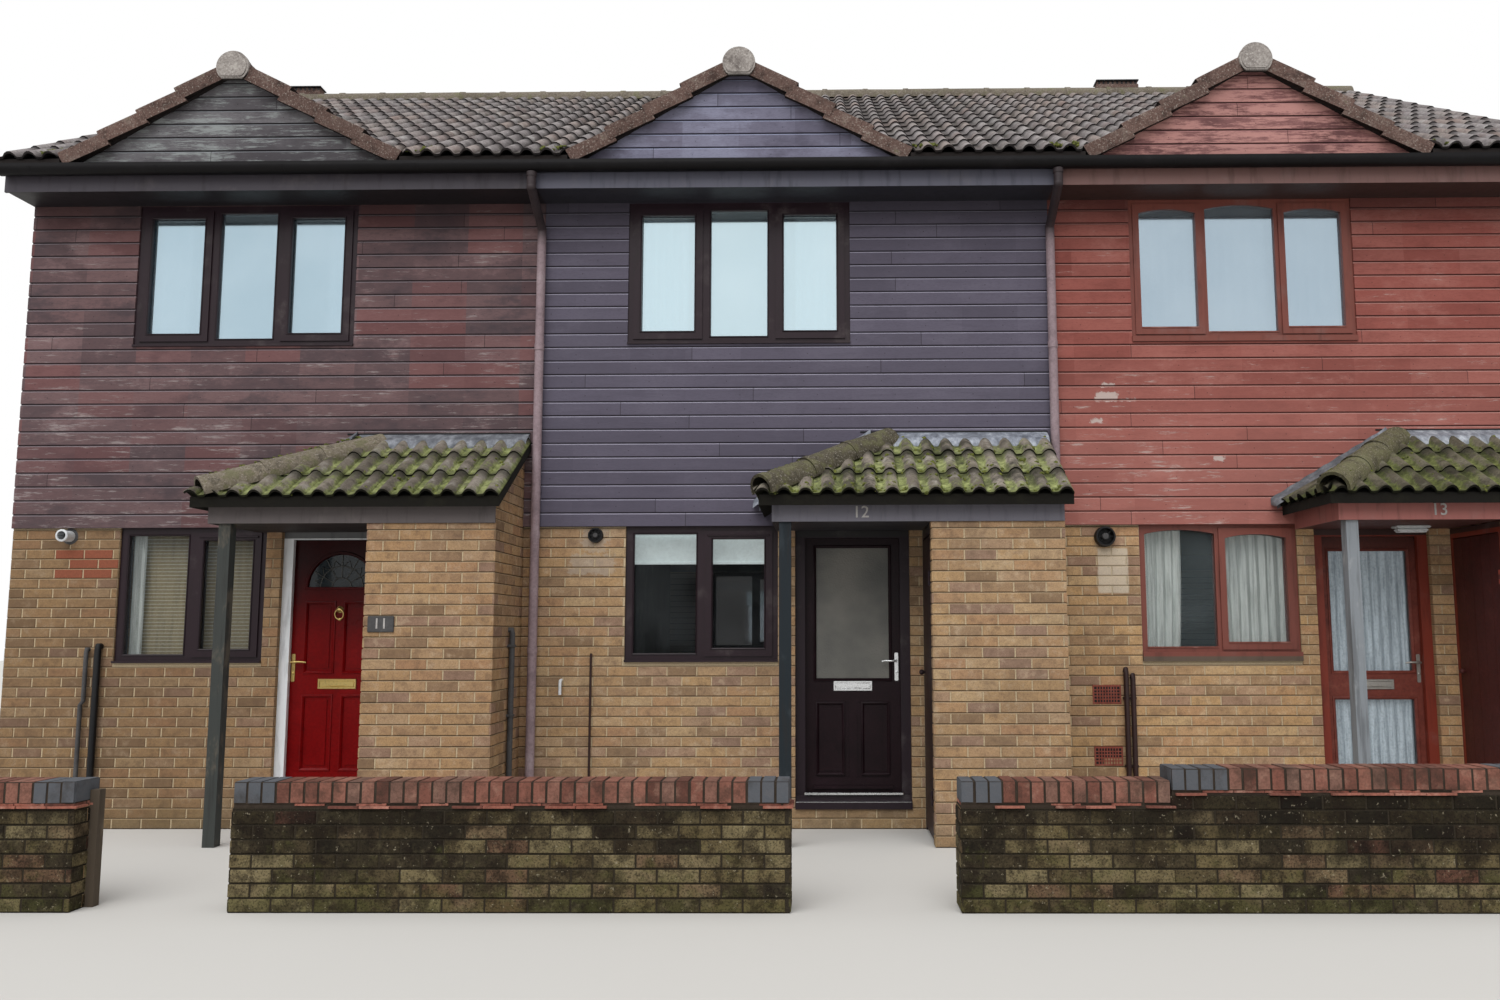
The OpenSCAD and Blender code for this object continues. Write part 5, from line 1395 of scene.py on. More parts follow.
def curtain(name, finish, x0, x1, z0, z1, y, folds, deep, body="row", swag=0.0):
    """A hanging cloth with folds; swag draws its foot towards its outer side."""
    columns, rows, thick = folds * 8, 10, 0.0012
    rand = random.Random(sum(map(ord, name)))
    phase = [rand.uniform(-0.5, 0.5) for _ in range(folds + 2)]
    grid = []
    for r in range(rows + 1):
        v = r / rows
        line = []
        for c in range(columns + 1):
            u = c / columns
            wave = math.sin(u * folds * 2 * math.pi + phase[int(u * folds)])
            depth = deep * (0.45 + 0.55 * v)
            pull = swag * v * v * (x1 - x0) * (u if swag > 0 else u - 1)
            line.append(Vector((x0 + (x1 - x0) * u - pull, y + wave * depth, z1 + (z0 - z1) * v)))
        grid.append(line)
    build = Build()
    loops = [line + [p + Vector((0, thick, 0)) for p in reversed(line)] for line in grid]
    build.ring(loops, closed=False)
    build.close_ends(columns, rows + 1)
    made = build.done(name, finish, body, 80)


def dress_windows(net, cream, bright, blind, slatted):
    """Curtains, blinds and nets behind the glass of the upper, the lower and the door lights."""
    y = FRONT + 0.16
    middle = [at + GABLET_X[i] - 0.022 for i, at in enumerate(HOUSE_AT)]
    left = [at + LOWER_X[i] for i, at in enumerate(HOUSE_AT)]
    half = UPPER_W / 2 - 0.03
    z0, z1 = UPPER_Z - 0.03, SOFFIT - 0.01
    for name, centre, a, b, folds, deep in (
            ("curtain_a_left", middle[0], -half, -half + 0.30, 5, 0.022),
            ("curtain_a_right", middle[0], half - 0.26, half, 4, 0.022),
            ("curtain_b_left", middle[1], -half + 0.02, -half + 0.42, 7, 0.024),
            ("curtain_b_right", middle[1], half - 0.40, half, 6, 0.022),
            ("net_c_upper_1", middle[2], -half, -half + 0.52, 6, 0.018),
            ("net_c_upper_2", middle[2], -0.26, 0.26, 6, 0.018),
            ("net_c_upper_3", middle[2], half - 0.52, half, 6, 0.018)):
        curtain(name, bright, centre + a, centre + b, z0, z1, y, folds, deep)
    x0 = left[2]
    curtain("curtain_c_left", cream, x0 + 0.03, x0 + 0.36, LOWER_Z, LOWER_TOP, y, 5, 0.024, swag=0.1)
    curtain("curtain_c_right", cream, x0 + 0.66, x0 + 1.16, LOWER_Z, LOWER_TOP, y, 7, 0.022)
    x0 = left[0]
    curtain("curtain_a_lower", cream, x0 + 0.05, x0 + 0.15, LOWER_Z, LOWER_TOP, y - 0.05, 2, 0.012)
    curtain("striped_blind", slatted, x0 + 0.11, x0 + 1.09, LOWER_Z + 0.01, LOWER_TOP - 0.03, y, 2, 0.0004)
    x0 = left[1]
    roll = Build()
    roll.tube([(x0 + 0.03, y - 0.02, LOWER_TOP - 0.045), (x0 + 1.13, y - 0.02, LOWER_TOP - 0.045)], 0.022)
    roll.box((x0 + 0.03, y - 0.012, LOWER_TOP - 0.290), (x0 + 1.13, y - 0.002, LOWER_TOP - 0.270), 0.003)
    roll.done("blind_roll", blind)
    curtain("roller_blind", blind, x0 + 0.04, x0 + 1.12, LOWER_TOP - 0.285, LOWER_TOP - 0.05, y, 2, 0.0004)
    x0 = HOUSE_AT[2] + LEAF_X + 0.062
    for n, (low, high) in enumerate(((1.1455, 2.0725), (0.4335, 0.9495))):
        curtain("net_c_door_%d" % (n + 1), net, x0 + 0.005, x0 + 0.608, low - 0.01, high + 0.01,
                LEAF_Y + 0.052, 9, 0.006, body="front_door_3_leaf")


# Doors.
def door_beads(red, dark, timber):
    """Mouldings round the panels and the glass of the front doors."""
    ogee = [(-0.014, 0.0), (-0.012, -0.006), (-0.004, -0.009), (0.003, -0.004), (0.010, 0.004),
            (0.010, 0.009), (-0.014, 0.009)]
    arched = [(-0.008, 0.006), (-0.002, -0.006), (0.012, -0.008), (0.018, 0.0), (0.018, 0.004),
              (-0.008, 0.012)]
    middle, builds = LEAF_X + LEAF_W / 2, (Build(), Build(), Build())
    panels = [(0, middle + side * 0.150, 0.106, z, h) for side in (-1, 1)
              for z, h in ((0.176, 0.548), (0.906, 0.527))]
    panels += [(1, middle + side * 0.172, 0.096, 0.140, 0.522) for side in (-1, 1)]
    panels += [(1, middle, LEAF_W / 2 - 0.082, 0.842, 1.012)]
    panels += [(2, middle, LEAF_W / 2 - 0.062, z, h) for z, h in ((0.892, 0.927), (0.180, 0.516))]
    for i, centre, half, z, h in panels:
        x = HOUSE_AT[i] + centre
        builds[i].mitred(x - half, x + half, LEAF_Z + z, LEAF_Z + z + h, LEAF_Y, ogee)
    x = HOUSE_AT[0] + middle
    builds[0].ring([[around(x, LEAF_Y + y, LEAF_Z + FAN_Z, FAN_R + d, math.pi * k / 24) for d, y in arched]
                    for k in range(25)], closed=False, caps=True)
    builds[0].bar(x, 0.28, LEAF_Y - 0.008, LEAF_Y + 0.008, LEAF_Z + 1.536, LEAF_Z + 1.556, 0.003)
    for i, (name, finish, slot) in enumerate((("red_mouldings", red, "red_door"),
                                              ("dark_mouldings", dark, "dark_door"),
                                              ("timber_mouldings", timber, "timber_door"))):
        builds[i].done(name, finish, "front_door_%d_leaf" % (i + 1), slot=slot)


def sunburst(finish):
    """Bars and arcs of the half-round light in the panelled door."""
    build = Build()
    centre = (HOUSE_AT[0] + LEAF_X + LEAF_W / 2, LEAF_Y + 0.009, LEAF_Z + FAN_Z)
    hub, ring = 0.075, 0.165
    for k in range(1, 6):
        t = math.pi * k / 6
        build.tube([around(*centre, r, t) for r in (hub, 0.250)], 0.0035, 8)
    for r in (hub, ring):
        build.tube([around(*centre, r, math.pi * k / 20) for k in range(21)], 0.0035, 8)
    for k in range(6):
        t = math.pi * (k + 0.5) / 6
        bow = ((ring, t - 0.2), (0.215, t), (ring, t + 0.2))
        build.tube([around(*centre, r, a) for r, a in bow], 0.003, 8)
    build.done("sunburst_bars", finish, "front_door_1_leaf", slot="door_metal")


def knocker(build, x, y, z):
    """A ring knocker on its boss, with a stud under its foot."""
    build.lathe([(0.0, 0.0), (0.026, 0.0), (0.026, 0.006), (0.017, 0.012), (0.010, 0.024), (0.0, 0.026)],
                on_wall(x, y, z + 0.035), 20)
    middle = Vector((x, y - 0.016, z - 0.003))
    loops = []
    for k, t in enumerate(circle(24)):
        reach = Vector((0.033 * math.sin(t), -0.004 * math.cos(t), 0.038 * math.cos(t)))
        p, out = middle + reach, reach.normalized()
        r = 0.0045 + 0.003 * (k == 12) + 0.0015 * (k in (11, 13))
        loops.append([p + out * (r * math.cos(a)) + Vector((0, r * math.sin(a), 0)) for a in circle(8)])
    build.ring(loops, closed=True)
    build.lathe([(0.0, 0.0), (0.012, 0.0), (0.010, 0.010), (0.0, 0.012)], on_wall(x, y, z - 0.041), 16)


def hinge_knuckles(build, x, inward):
    """The middle knuckle of each butt hinge with its plate on the leaf; inward is -1 or 1 along X."""
    height, y, gap = LEAF_TOP - LEAF_Z, LEAF_Y + 0.044 + 0.012, 0.0003
    for z in (0.160, height / 2 - 0.05, height - 0.26):
        low = LEAF_Z + z + 0.1 / 3 + gap
        high = LEAF_Z + z + 0.2 / 3 - gap
        build.lathe([(0.0038, 0.0), (0.0065, 0.0), (0.0065, high - low), (0.0038, high - low)],
                    Matrix.Translation((x, y, low)), 16)
        for near, far, deep in ((0.0040, 0.038, -0.008), (0.0045, 0.0065, -0.002)):
            a, b = sorted((x + inward * near, x + inward * far))
            build.box((a, y - 0.012, low), (b, y + deep, high))


def door_furniture(i, finish, way, lever_x, lever_z, letter_z):
    """Lever handle that points way along X, letter plate, hinges and knocker of one front door."""
    at = HOUSE_AT[i]
    build = Build()
    x, z, y = at + LEAF_X + lever_x, LEAF_Z + lever_z + 0.09, LEAF_Y
    build.bar(x, 0.014, y - 0.007, y, z - 0.150, z + 0.062, 0.004, 2)
    build.lathe([(0.0, 0.0), (0.011, 0.0), (0.011, 0.012), (0.0075, 0.016), (0.0075, 0.046), (0.0, 0.046)],
                on_wall(x, y, z), 16)
    lever = ((0, 0.040, 0), (0.012, 0.047, 0), (0.04, 0.048, 0.001), (0.085, 0.046, 0.002),
             (0.112, 0.040, -0.003))
    build.tube([(x + way * dx, y - dy, z + dz) for dx, dy, dz in lever],
               [0.0075, 0.0085, 0.008, 0.0075, 0.0065])
    build.lathe([(0.0, 0.0), (0.009, 0.0), (0.009, 0.006), (0.006, 0.008), (0.0, 0.008)],
                on_wall(x, y - 0.006, z - 0.085), 16)
    x, z = at + LEAF_X + LEAF_W / 2, LEAF_Z + letter_z
    build.mitred(x - 0.148, x + 0.148, z, z + 0.076, y, [(0.0, 0.0), (0.0, -0.005), (0.003, -0.008),
                                                         (0.014, -0.008), (0.018, -0.004), (0.018, 0.0)])
    build.bar(x, 0.131, y - 0.007, y - 0.001, z + 0.017, z + 0.059, 0.002)
    build.bar(x, 0.06, y - 0.011, y - 0.005, z + 0.020, z + 0.026, 0.002)
    if i == 0:
        knocker(build, x, y, LEAF_Z + 1.348)
        hinge_knuckles(build, at + LEAF_X + LEAF_W + 0.004, -1)
    else:
        hinge_knuckles(build, at + LEAF_X - 0.004, 1)
    build.done("door_furniture_%d" % (i + 1), finish, "front_door_%d_leaf" % (i + 1), 40,
               replaces=("door_fittings_%d" % (i + 1),), slot="door_metal")


def thresholds(finish):
    """Bright metal strips under the front doors."""
    build = Build()
    for i, at in enumerate(HOUSE_AT):
        if i == 1:
            build.bar(at + LEAF_X + LEAF_W / 2, LEAF_W / 2 + 0.002, -3.606, -3.585, 0.2466, 0.264, 0.003)
        build.bar(at + DOOR_X + DOOR_W / 2, DOOR_W / 2 - 0.004, -3.6225, -3.5775, 0.1945, 0.1985, 0.001)
    build.done("threshold_strips", finish, slot="door_metal")


# Gutters, pipes and fittings.
def gutter_straps(finish):
    """Brackets and joint sleeves round the gutters."""
    inner, outer, half = 0.0563, 0.0575, 0.5
    build = Build()
    build.ring([[(x, r * math.cos(t), r * math.sin(t)) for r, x in
                 ((inner, -half), (outer, -half), (outer, half), (inner, half))]
                for t in (math.pi + math.pi * k / 12 for k in range(13))], closed=False, caps=True)
    form = pattern("strap_form", build)
    places = []
    bottom = EAVES_Z - 0.045 / math.cos(PITCH) - 0.002 - 0.080 + 0.056
    for side in (-1, 1):
        for k in range(13):
            wide = 0.11 if k in (3, 9) else 0.026
            places.append(((-5.8 + k * 0.967, side * (REAR + 0.437), bottom), (wide, 1, 1), (0, 0, 0), 0.5))
    laid("gutter_straps", places, form, finish, 0.0, 27, angle=40, slot="gutter_plastic")


def flues(white, black, grey):
    """A balanced flue on house 1 and round terminals on houses 2 and 3."""
    pale, deep, mid = Build(), Build(), Build()
    x, z = HOUSE_AT[0] - 1.651, 2.200
    place = on_wall(x, FRONT, z)
    pale.lathe([(0.033, -0.01), (0.042, -0.01), (0.042, 0.095), (0.047, 0.100), (0.047, 0.112),
                (0.040, 0.116), (0.033, 0.116)], place, 28)
    deep.lathe([(0.0, 0.03), (0.032, 0.03), (0.032, 0.036), (0.0, 0.036)], place)
    for k in range(5):
        level = z - 0.024 + k * 0.012
        deep.tube([(x - 0.030, FRONT - 0.104, level), (x + 0.030, FRONT - 0.104, level)], 0.002, 8)
    mid.lathe([(0.042, 0.0), (0.062, 0.0), (0.062, 0.006), (0.052, 0.010), (0.042, 0.010)], place, 28)
    for x, z, r, reach in ((HOUSE_AT[1] - 1.537, 2.195, 0.058, 0.036),
                           (HOUSE_AT[2] - 1.600, 2.172, 0.078, 0.066)):
        place = on_wall(x, FRONT, z)
        inner = r * 0.72
        deep.lathe([(inner, -0.005), (r, -0.005), (r, reach * 0.75), (r * 0.94, reach), (r * 0.80, reach),
                    (inner, reach * 0.8)], place, 32)
        deep.lathe([(0.0, 0.002), (inner, 0.002), (inner, 0.008), (0.0, 0.008)], place, 32)
        mid.lathe([(0.0, reach * 0.35), (r * 0.34, reach * 0.35), (r * 0.34, reach * 0.8),
                   (r * 0.26, reach * 0.9), (0.0, reach * 0.9)], place)
        for t in circle(8):
            deep.tube([around(x, FRONT - reach * 0.86, z, r * share, t) for share in (0.30, 0.84)], 0.0025, 8)
    pale.done("flue_pale", white, slot="fittings")
    deep.done("flue_dark", black, slot="fittings")
    mid.done("flue_rings", grey, slot="fittings", replaces=("wall_fittings",))


def air_bricks(clay, dark):
    bricks, holes = Build(), Build()
    x, back = HOUSE_AT[2] - 1.615, FRONT + 0.002
    for z in (0.985, 0.530):
        bricks.mitred(x - 0.107, x + 0.107, z - 0.070, z + 0.070, FRONT, [
            (0.0, 0.002), (0.0, -0.007), (0.002, -0.009), (0.012, -0.009), (0.014, 0.002)])
        for k in range(1, 9):
            bricks.bar(x - 0.093 + 0.186 * k / 9, 0.004, FRONT - 0.009, back, z - 0.058, z + 0.058)
        for k in range(1, 5):
            level = z - 0.058 + 0.116 * k / 5
            bricks.bar(x, 0.095, FRONT - 0.0085, back, level - 0.004, level + 0.004)
        holes.bar(x, 0.1, FRONT - 0.0058, FRONT + 0.001, z - 0.064, z + 0.064)
    bricks.done("air_bricks", clay, slot="fittings")
    holes.done("air_brick_voids", dark, slot="fittings")


def wall_pipe(build, x, radius, *path):
    """A pipe along points of (distance from the wall, height) and, where it jogs, the step along X."""
    build.tube([(x + sum(jog), FRONT - out, z) for out, z, *jog in path], radius)


def small_pipes(white, black, grey, brown):
    """Overflows, wastes and cable pipes on the front wall, and one beside the store of house 1."""
    foot = 0.03
    twins, stubs, black_pipe, over = Build(), Build(), Build(), Build()
    for x, top in ((HOUSE_AT[2] - 1.475, 1.175), (HOUSE_AT[2] - 1.425, 1.130)):
        wall_pipe(twins, x, 0.019, (0.010, top - 0.02), (0.030, top), (0.036, top - 0.03), (0.036, 0.16),
                  (0.036, foot))
        for z in (0.45, 0.95):
            twins.bar(x, 0.024, FRONT - 0.040, FRONT - 0.002, z, z + 0.018, 0.002)
    wall_pipe(twins, HOUSE_AT[1] - 1.555, 0.0085, (0.004, 1.29), (0.018, 1.295), (0.022, 1.26), (0.022, foot))
    wall_pipe(stubs, HOUSE_AT[0] - 1.45, 0.016, (0.005, 1.335), (0.028, 1.34), (0.034, 1.31), (0.034, 0.95),
              (0.036, 0.92, -0.02), (0.036, foot, -0.02))
    x, y = HOUSE_AT[0] + STORE_X[0] + STORE_W[0] + 0.031, -3.97
    stubs.tube([(x - 0.03, y, 1.475), (x - 0.004, y, 1.478), (x, y, 1.45), (x, y, foot)], 0.021)
    for z in (0.35, 0.85, 1.35):
        stubs.box((x - 0.034, y - 0.027, z), (x + 0.024, y + 0.027, z + 0.020), 0.003)
    stubs.done("grey_pipes", grey, slot="pipe_plastic")
    twins.done("twin_pipes", brown, slot="pipe_plastic")
    wall_pipe(black_pipe, HOUSE_AT[0] - 1.36, 0.024, (0.006, 1.36), (0.03, 1.365), (0.038, 1.33),
              (0.038, foot))
    black_pipe.done("dark_pipes", black, slot="pipe_plastic")
    wall_pipe(over, HOUSE_AT[1] - 1.78, 0.0115, (-0.01, 1.10), (0.035, 1.095), (0.045, 1.075), (0.046, 0.99))
    over.done("overflow_pipe", white, slot="fittings")


def porch_light(finish):
    build = Build()
    x, y, z = HOUSE_AT[2] + 0.60, -3.86, 2.226
    build.bar(x, 0.125, y - 0.052, y + 0.052, z - 0.018, z - 0.001, 0.006, 2)
    build.bar(x, 0.112, y - 0.042, y + 0.042, z - 0.050, z - 0.015, 0.012, 3)
    build.done("porch_light", finish, slot="fittings")


def number_plate(finish):
    build = Build()
    y, z = FRONT - STORE_D, NUMBER_Z
    build.bar(HOUSE_AT[0] + NUMBER_X, 0.092, y - 0.016, y - 0.004, z - 0.056, z + 0.056, 0.004, 2)
    build.done("number_plate", finish, slot="fittings")


def numerals(name, text, x, y, z, height, finish):
    """Plain raised figures on a face."""
    curve = bpy.data.curves.new(name, "FONT")
    curve.body, curve.size, curve.extrude = text, height * 1.38, 0.0018
    curve.bevel_depth, curve.align_x, curve.align_y = 0.0006, "CENTER", "CENTER"
    source = linked(name + "_curve", curve)
    bpy.context.view_layer.update()
    mesh = bpy.data.meshes.new_from_object(source.evaluated_get(bpy.context.evaluated_depsgraph_get()))
    bpy.data.objects.remove(source)
    mesh.transform(on_wall(x, y, z))
    shown(name, mesh, finish, slot="fittings")


# Camera, lights and floor.
def photo_camera():
    """The camera fitted to the photo: turned about X by its pitch, about its own view by its roll."""
    data = bpy.data.cameras.new("camera")
    camera = linked("camera", data)
    data.lens, data.sensor_width, data.shift_x = 28.33, 36, -0.0379
    data.clip_end = 300
    place = Vector((0.193, -12.602, 1.451))
    pitch, roll, yaw = (math.radians(a) for a in (6.413, -0.129, -0.716))
    ahead = Vector((math.sin(yaw) * math.cos(pitch), math.cos(yaw) * math.cos(pitch), math.sin(pitch)))
    right = Vector((math.cos(yaw), -math.sin(yaw), 0))
    up = right.cross(ahead)
    side = math.cos(roll) * right + math.sin(roll) * up
    top = -math.sin(roll) * right + math.cos(roll) * up
    camera.matrix_world = Matrix.Translation(place) @ Matrix((side, top, -ahead)).transposed().to_4x4()
    scene.camera = camera


def soft_light():
    """A white surround for the camera and mirrors, and a softer one, brighter above, that lights."""
    world = bpy.data.worlds.new("studio")
    scene.world = world
    world.use_nodes = True
    tree = world.node_tree
    rays = tree.nodes.new("ShaderNodeLightPath").outputs
    seen = rays["Is Camera Ray"]
    for ray in ("Is Glossy Ray", "Is Transmission Ray"):
        seen = wired(tree, "ShaderNodeMath", [seen, rays[ray]], operation="MAXIMUM").outputs[0]
    way = wired(tree, "ShaderNodeSeparateXYZ", [tree.nodes.new("ShaderNodeTexCoord").outputs["Generated"]])
    rise = wired(tree, "ShaderNodeMapRange", {"Value": way.outputs["Z"], "To Min": 0.42, "To Max": 1.0})
    strength = wired(tree, "ShaderNodeMapRange",
                     {"Value": seen, "To Min": rise.outputs["Result"], "To Max": 1.0})
    back = tree.nodes["Background"]
    tree.links.new(strength.outputs["Result"], back.inputs["Strength"])
    back.inputs["Color"].default_value = (1, 1, 1, 1)
    lamp = bpy.data.lights.new("sky_lamp", "SUN")
    lamp.energy, lamp.angle = 2.0, math.radians(60)
    linked("sky_lamp", lamp).rotation_euler = (math.radians(38), 0, math.radians(-14))
    scene.view_settings.view_transform = "Standard"


def floor():
    finish = Finish("pale_floor", "#c8c6c2", 0.9)
    finish.use("Base Color", finish.mix(finish.noise(0.7, 4.0) * 0.3, "#c8c6c2", "#bfbdb8"))
    radius = 70
    mesh = bpy.data.meshes.new("floor")
    mesh.from_pydata([(radius * math.cos(a), radius * math.sin(a), -0.001) for a in circle(64)], [],
                     [tuple(range(64))])
    mesh.materials.append(finish.material)
    made = linked("floor", mesh)


# The row, dressed.
photo_camera()
soft_light()
floor()

brick, garden, coping, creasing = buff_brick(), garden_brick(), coping_brick(), creasing_tile()
blocks, clay = blockwork(), terracotta()
tile, porch, cushion = roof_tile(), porch_tile(), moss()
ridge = ridge_tile("ridge_tile", "#7f766a", "#4a443b", "#a59f92", 0.5)
hip = ridge_tile("hip_tile", ("#8d8374", "#625c4e", "#6a664e"), "#353128", "#a8a294", 0.6)
verge = ridge_tile("verge_tile", "#6d5750", "#2e2522", "#8c7c74", 0.1)
block_end = ridge_tile("block_end", "#a09994", "#524a47", "#bdb7b1", 0.0, "#d9d4cd")
dark_frame = painted("rosewood_plastic", "#261a20", "#150e12", "#453840", 0.3, 0.0004)
stained = painted("stained_timber", "#7b463c", "#5a2f27", "#ad8479", 0.5, 0.0012, 9.0, 0.6)
white_paint = painted("white_plastic", "#d6d9dc", "#9fa1a0", "#eceef0", 0.4)
red_paint = painted("red_gloss", "#7c090b", "#4c0507", "#8f1416", 0.3, 0.0005, shade=(1.25, 2.05), shine=0.12)
dark_door = painted("dark_door", "#1f1116", "#0e080b", "#33222a", 0.34, 0.0006, shine=0.14)
timber_door = painted("door_timber", "#74382e", "#47211a", "#93584b", 0.45, 0.0012, 8.0, 0.5,
                      shade=(1.9, 2.3))
brass = metal("brass", "#c8b070", 0.25)
dull_metal = metal("dull_metal", "#5c5b58", 0.4)
chrome = metal("polished_metal", "#d9dadb", 0.16, "#8b8c8e")
black = painted("black_plastic", "#121214", "#080809", "#29292c", 0.42)
grey = painted("grey_plastic", "#4b4a4b", "#2c2b2b", "#6f6e6d", 0.55)
brown = painted("brown_plastic", "#33211f", "#1c1110", "#5a4a46", 0.5)
gutter = painted("gutter_plastic", "#0f0d0f", "#080708", "#242124", 0.4, shine=0.15)
lead = lead_sheet()
net = cloth("net_curtain", "#dbe8f0", "#76838d", 0.78, glow=0.12)
cream = cloth("cream_curtain", "#e2e8e4", "#7f857e", 0.94, 40.0, glow=0.10)
blind = painted("blind_cloth", "#cfdcdc", "#b4bfbf", "#e0eaea", 0.9, glow=0.55)
slatted = cloth("striped_blind", "#a89c7c", "#7d745c", 0.9, 30.0, "#d8d4c4")

cladding_a = boards("boards_red_brown", "#6d5556", "#433a3f", "#83696a", "#8d848a", "#a39a99", 0.30, 0.95,
                    red="#7c4643", foot="#4a4043")
cladding_b = boards("boards_purple", "#5e5968", "#494551", "#6f6a79", "#aaa7b8", "#8a8590", -0.6, 0.35,
                    foot="#504c5a")
cladding_c = boards("boards_red", "#93524a", "#6f3a34", "#ad746b", "#b78a82", "#c0b2ac", 0.16, 0.6,
                    spots=((2.31, 2.47, 3.215, 3.285), (2.36, 2.46, 3.33, 3.36), (2.27, 2.36, 3.05, 3.08),
                           (2.50, 2.62, 3.22, 3.235), (3.2, 3.28, 2.75, 2.79)), foot="#b88178")


def shared_boards(name, tints, peel, start):
    """Boards of one node in each house's own colour."""
    f = boards(name, "#6c6264", "#443c3f", "#837b7c", "#9a9699", "#aaa7a3", peel, 0.7, start)
    made = Value(f, f.shader.inputs["Base Color"].links[0].from_socket)
    f.use("Base Color", f.times(made, f.by_house(*tints)))
    return f


gablet_boards = shared_boards("gablet_boards", ((0.88, 1.0, 1.04), (1.28, 1.50, 2.0), (1.52, 0.82, 0.77)),
                             (1.0, -0.3, 1.35), SOFFIT + 0.1)
rear_boards = shared_boards("rear_boards", ((1.0, 0.72, 0.70), (0.85, 0.82, 1.0), (1.9, 0.72, 0.6)),
                            (0.2, -0.5, 0.2), BRICK_TOP)

fascia = by_house_paint("fascia_boards", "#433f46", "#5b5b68", "#755854", 0.5)
porch_fascia = by_house_paint("porch_fascia_boards", "#5f5858", "#68666f", "#99605a", 0.55)
frames = by_house_paint("window_frames", "#25171e", "#25171e", "#79453c", 0.34, sill=(1.268, "#5d4f44"))
# head: painted shade on the door frames above this height.
door_frames = by_house_paint("door_frames", "#f0f3f6", "#241920", "#7c3427", 0.4, dust="#8f8a86", head=2.182)
store_a = painted("store_door_red", "#4a2226", "#2c1215", "#6b3a3c", 0.5)
store_b = painted("store_door_brown", "#2d1e20", "#1a1112", "#4a3a3a", 0.5)
store_c = painted("store_door_dark_red", "#4c221f", "#2a110f", "#683a36", 0.5)
pipe = painted("downpipe_plastic", "#978489", "#62535a", "#b3a3a8", 0.5, 0.0005, 3.0, 0.6, shade=(4.42, 4.62))
figures = painted("raised_figures", "#b5b1ae", "#86817e", "#cac6c2", 0.6)
bright = cloth("bright_curtain", "#e4eef2", "#98a7b0", 0.95, 40.0, glow=0.55)
silver = metal("dull_silver", "#a5a29c", 0.35)
concrete = painted("concrete", "#a5a29b", "#85827a", "#bab7af", 0.95, 0.002)
wood_floor = painted("floorboards", "#a98964", "#86683f", "#c0a27c", 0.7, 0.001)
roof_base = painted("roof_underlay", "#262120", "#171413", "#3a3432", 0.9, 0.002)
porch_base = painted("porch_underlay", "#161410", "#0c0b09", "#2c2b20", 0.95, 0.002)
wall_mortar = mortar("wall_mortar", "#4b3e31", "#b39e80", "#c6b394", "#9b7f61")
garden_mortar = mortar("garden_mortar", "#171510", "#2a261f", "#2f2a22", "#4a4234")
coping_mortar = painted("coping_mortar", "#393028", "#221c17", "#51483f", 0.95, 0.002)

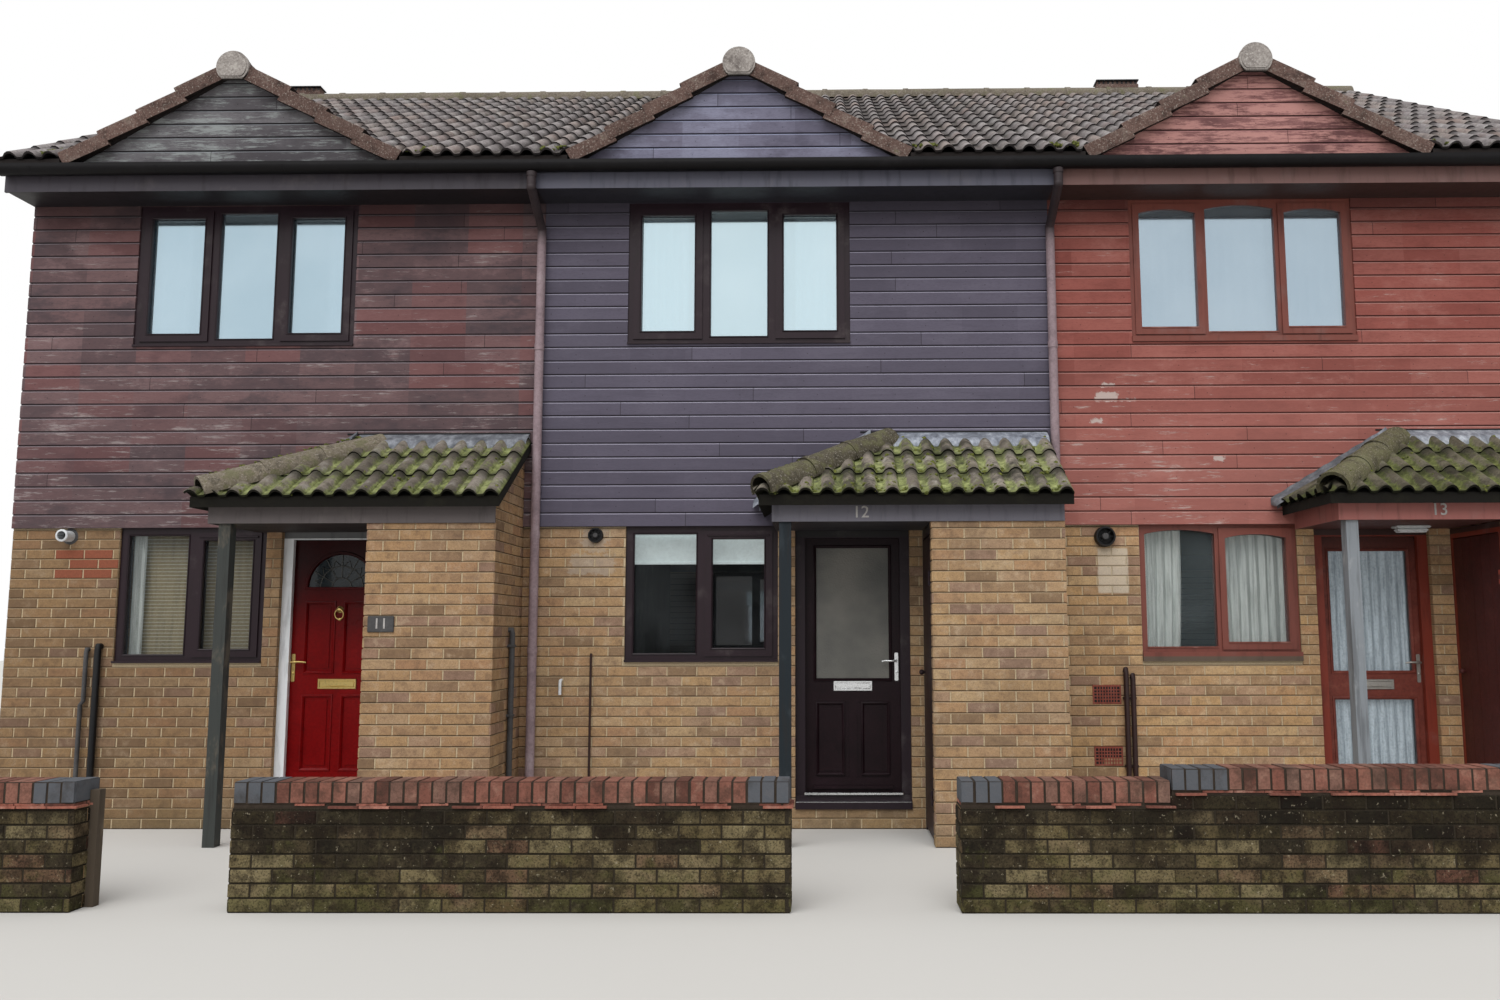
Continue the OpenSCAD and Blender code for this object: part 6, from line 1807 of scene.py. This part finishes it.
for finish, names in (
        (wall_mortar, ("front_brick", "door_plinths", "rear_brick", "stores")),
        (garden_mortar, ("garden_wall",)),
        (blocks, ("party_walls", "front_upper_wall", "rear_upper_wall")),
        (cladding_a, ("cladding_1",)), (cladding_b, ("cladding_2",)), (cladding_c, ("cladding_3",)),
        (rear_boards, ("rear_cladding",)), (gablet_boards, ("gablet_faces",)),
        (concrete, ("ground_floor",)), (wood_floor, ("first_floor",)),
        (frames, ("lower_windows", "upper_windows")), (dark_frame, ("rear_windows", "rear_doors")),
        # Painted reflection: the upper panes are pale blue and mostly opaque, standing in for reflected sky.
        (glass("upper_panes", ("#bdd5e2", "#d6ecf4", "#b3c5d2"), 0.82, 0.05, 0.9, haze=0.12),
         ("upper_glass",)),
        (glass("lower_panes", ("#3c4448", "#0a0c0d", "#687376"), 0.15, 0.03, 0.0, 0.10, 0.1),
         ("lower_glass",)),
        (glass("rear_panes", "#7d8c95", 0.82, 0.04, 0.6), ("rear_glass",)),
        (glass("door_pane", "#6b777c", 0.12, 0.04, 0.0, 0.15), ("door_glass_3",)),
        (frosted(), ("door_glass_2",)),
        (glass("fan_pane", "#182126", 0.86, 0.05, 0.0, 0.3, 0.05), ("door_glass_1",)),
        (door_frames, ("door_frames",)), (red_paint, ("front_door_1",)), (dark_door, ("front_door_2",)),
        (timber_door, ("front_door_3",)), (store_a, ("store_door_1",)), (store_b, ("store_door_2",)),
        (store_c, ("store_door_3",)), (porch_base, ("porch_roofs",)), (porch_fascia, ("porch_fascias",)),
        (posts_finish(), ("porch_posts",)), (lead, ("flashings",)),
        (roof_base, ("roof_front", "roof_rear", "gablet_roofs")), (fascia, ("eaves_boards",)),
        (gutter, ("gutters",)), (pipe, ("downpipes",))):
    for name in names:
        for holder in NODES[name].material_slots:
            holder.material = finish.material

lay_brickwork(brick, blocks)
lay_garden(garden, coping, creasing, coping_mortar)
lay_roof(tile)
lay_porches(porch, cushion)
rand = random.Random(53)
lay_main_ridge(ridge, rand)
ridge_flues(verge, black)
lay_gablet_ridges(verge, block_end, rand)
lay_hips(hip, rand)
lead_aprons(lead, black)
window_beads(dark_frame, stained)
dress_windows(net, cream, bright, blind, slatted)
door_beads(red_paint, dark_door, timber_door)
sunburst(dull_metal)
door_furniture(0, brass, 1, 0.026, 0.893, 0.778)
door_furniture(1, chrome, -1, LEAF_W - 0.036, 0.893, 0.757)
door_furniture(2, silver, -1, LEAF_W - 0.030, 0.873, 0.762)
thresholds(chrome)
gutter_straps(gutter)
flues(white_paint, black, grey)
air_bricks(clay, black)
small_pipes(white_paint, black, grey, brown)
porch_light(white_paint)
number_plate(grey)
numerals("number_a", "11", HOUSE_AT[0] + NUMBER_X, FRONT - STORE_D - 0.017, NUMBER_Z, 0.075, figures)
numerals("number_b", "12", HOUSE_AT[1] + 0.468, FRONT - STORE_D - 0.0215, 2.285, 0.085, figures)
numerals("number_c", "13", HOUSE_AT[2] + 0.537, FRONT - STORE_D - 0.0215, 2.289, 0.085, figures)

for form in PATTERNS:
    bpy.data.objects.remove(form)
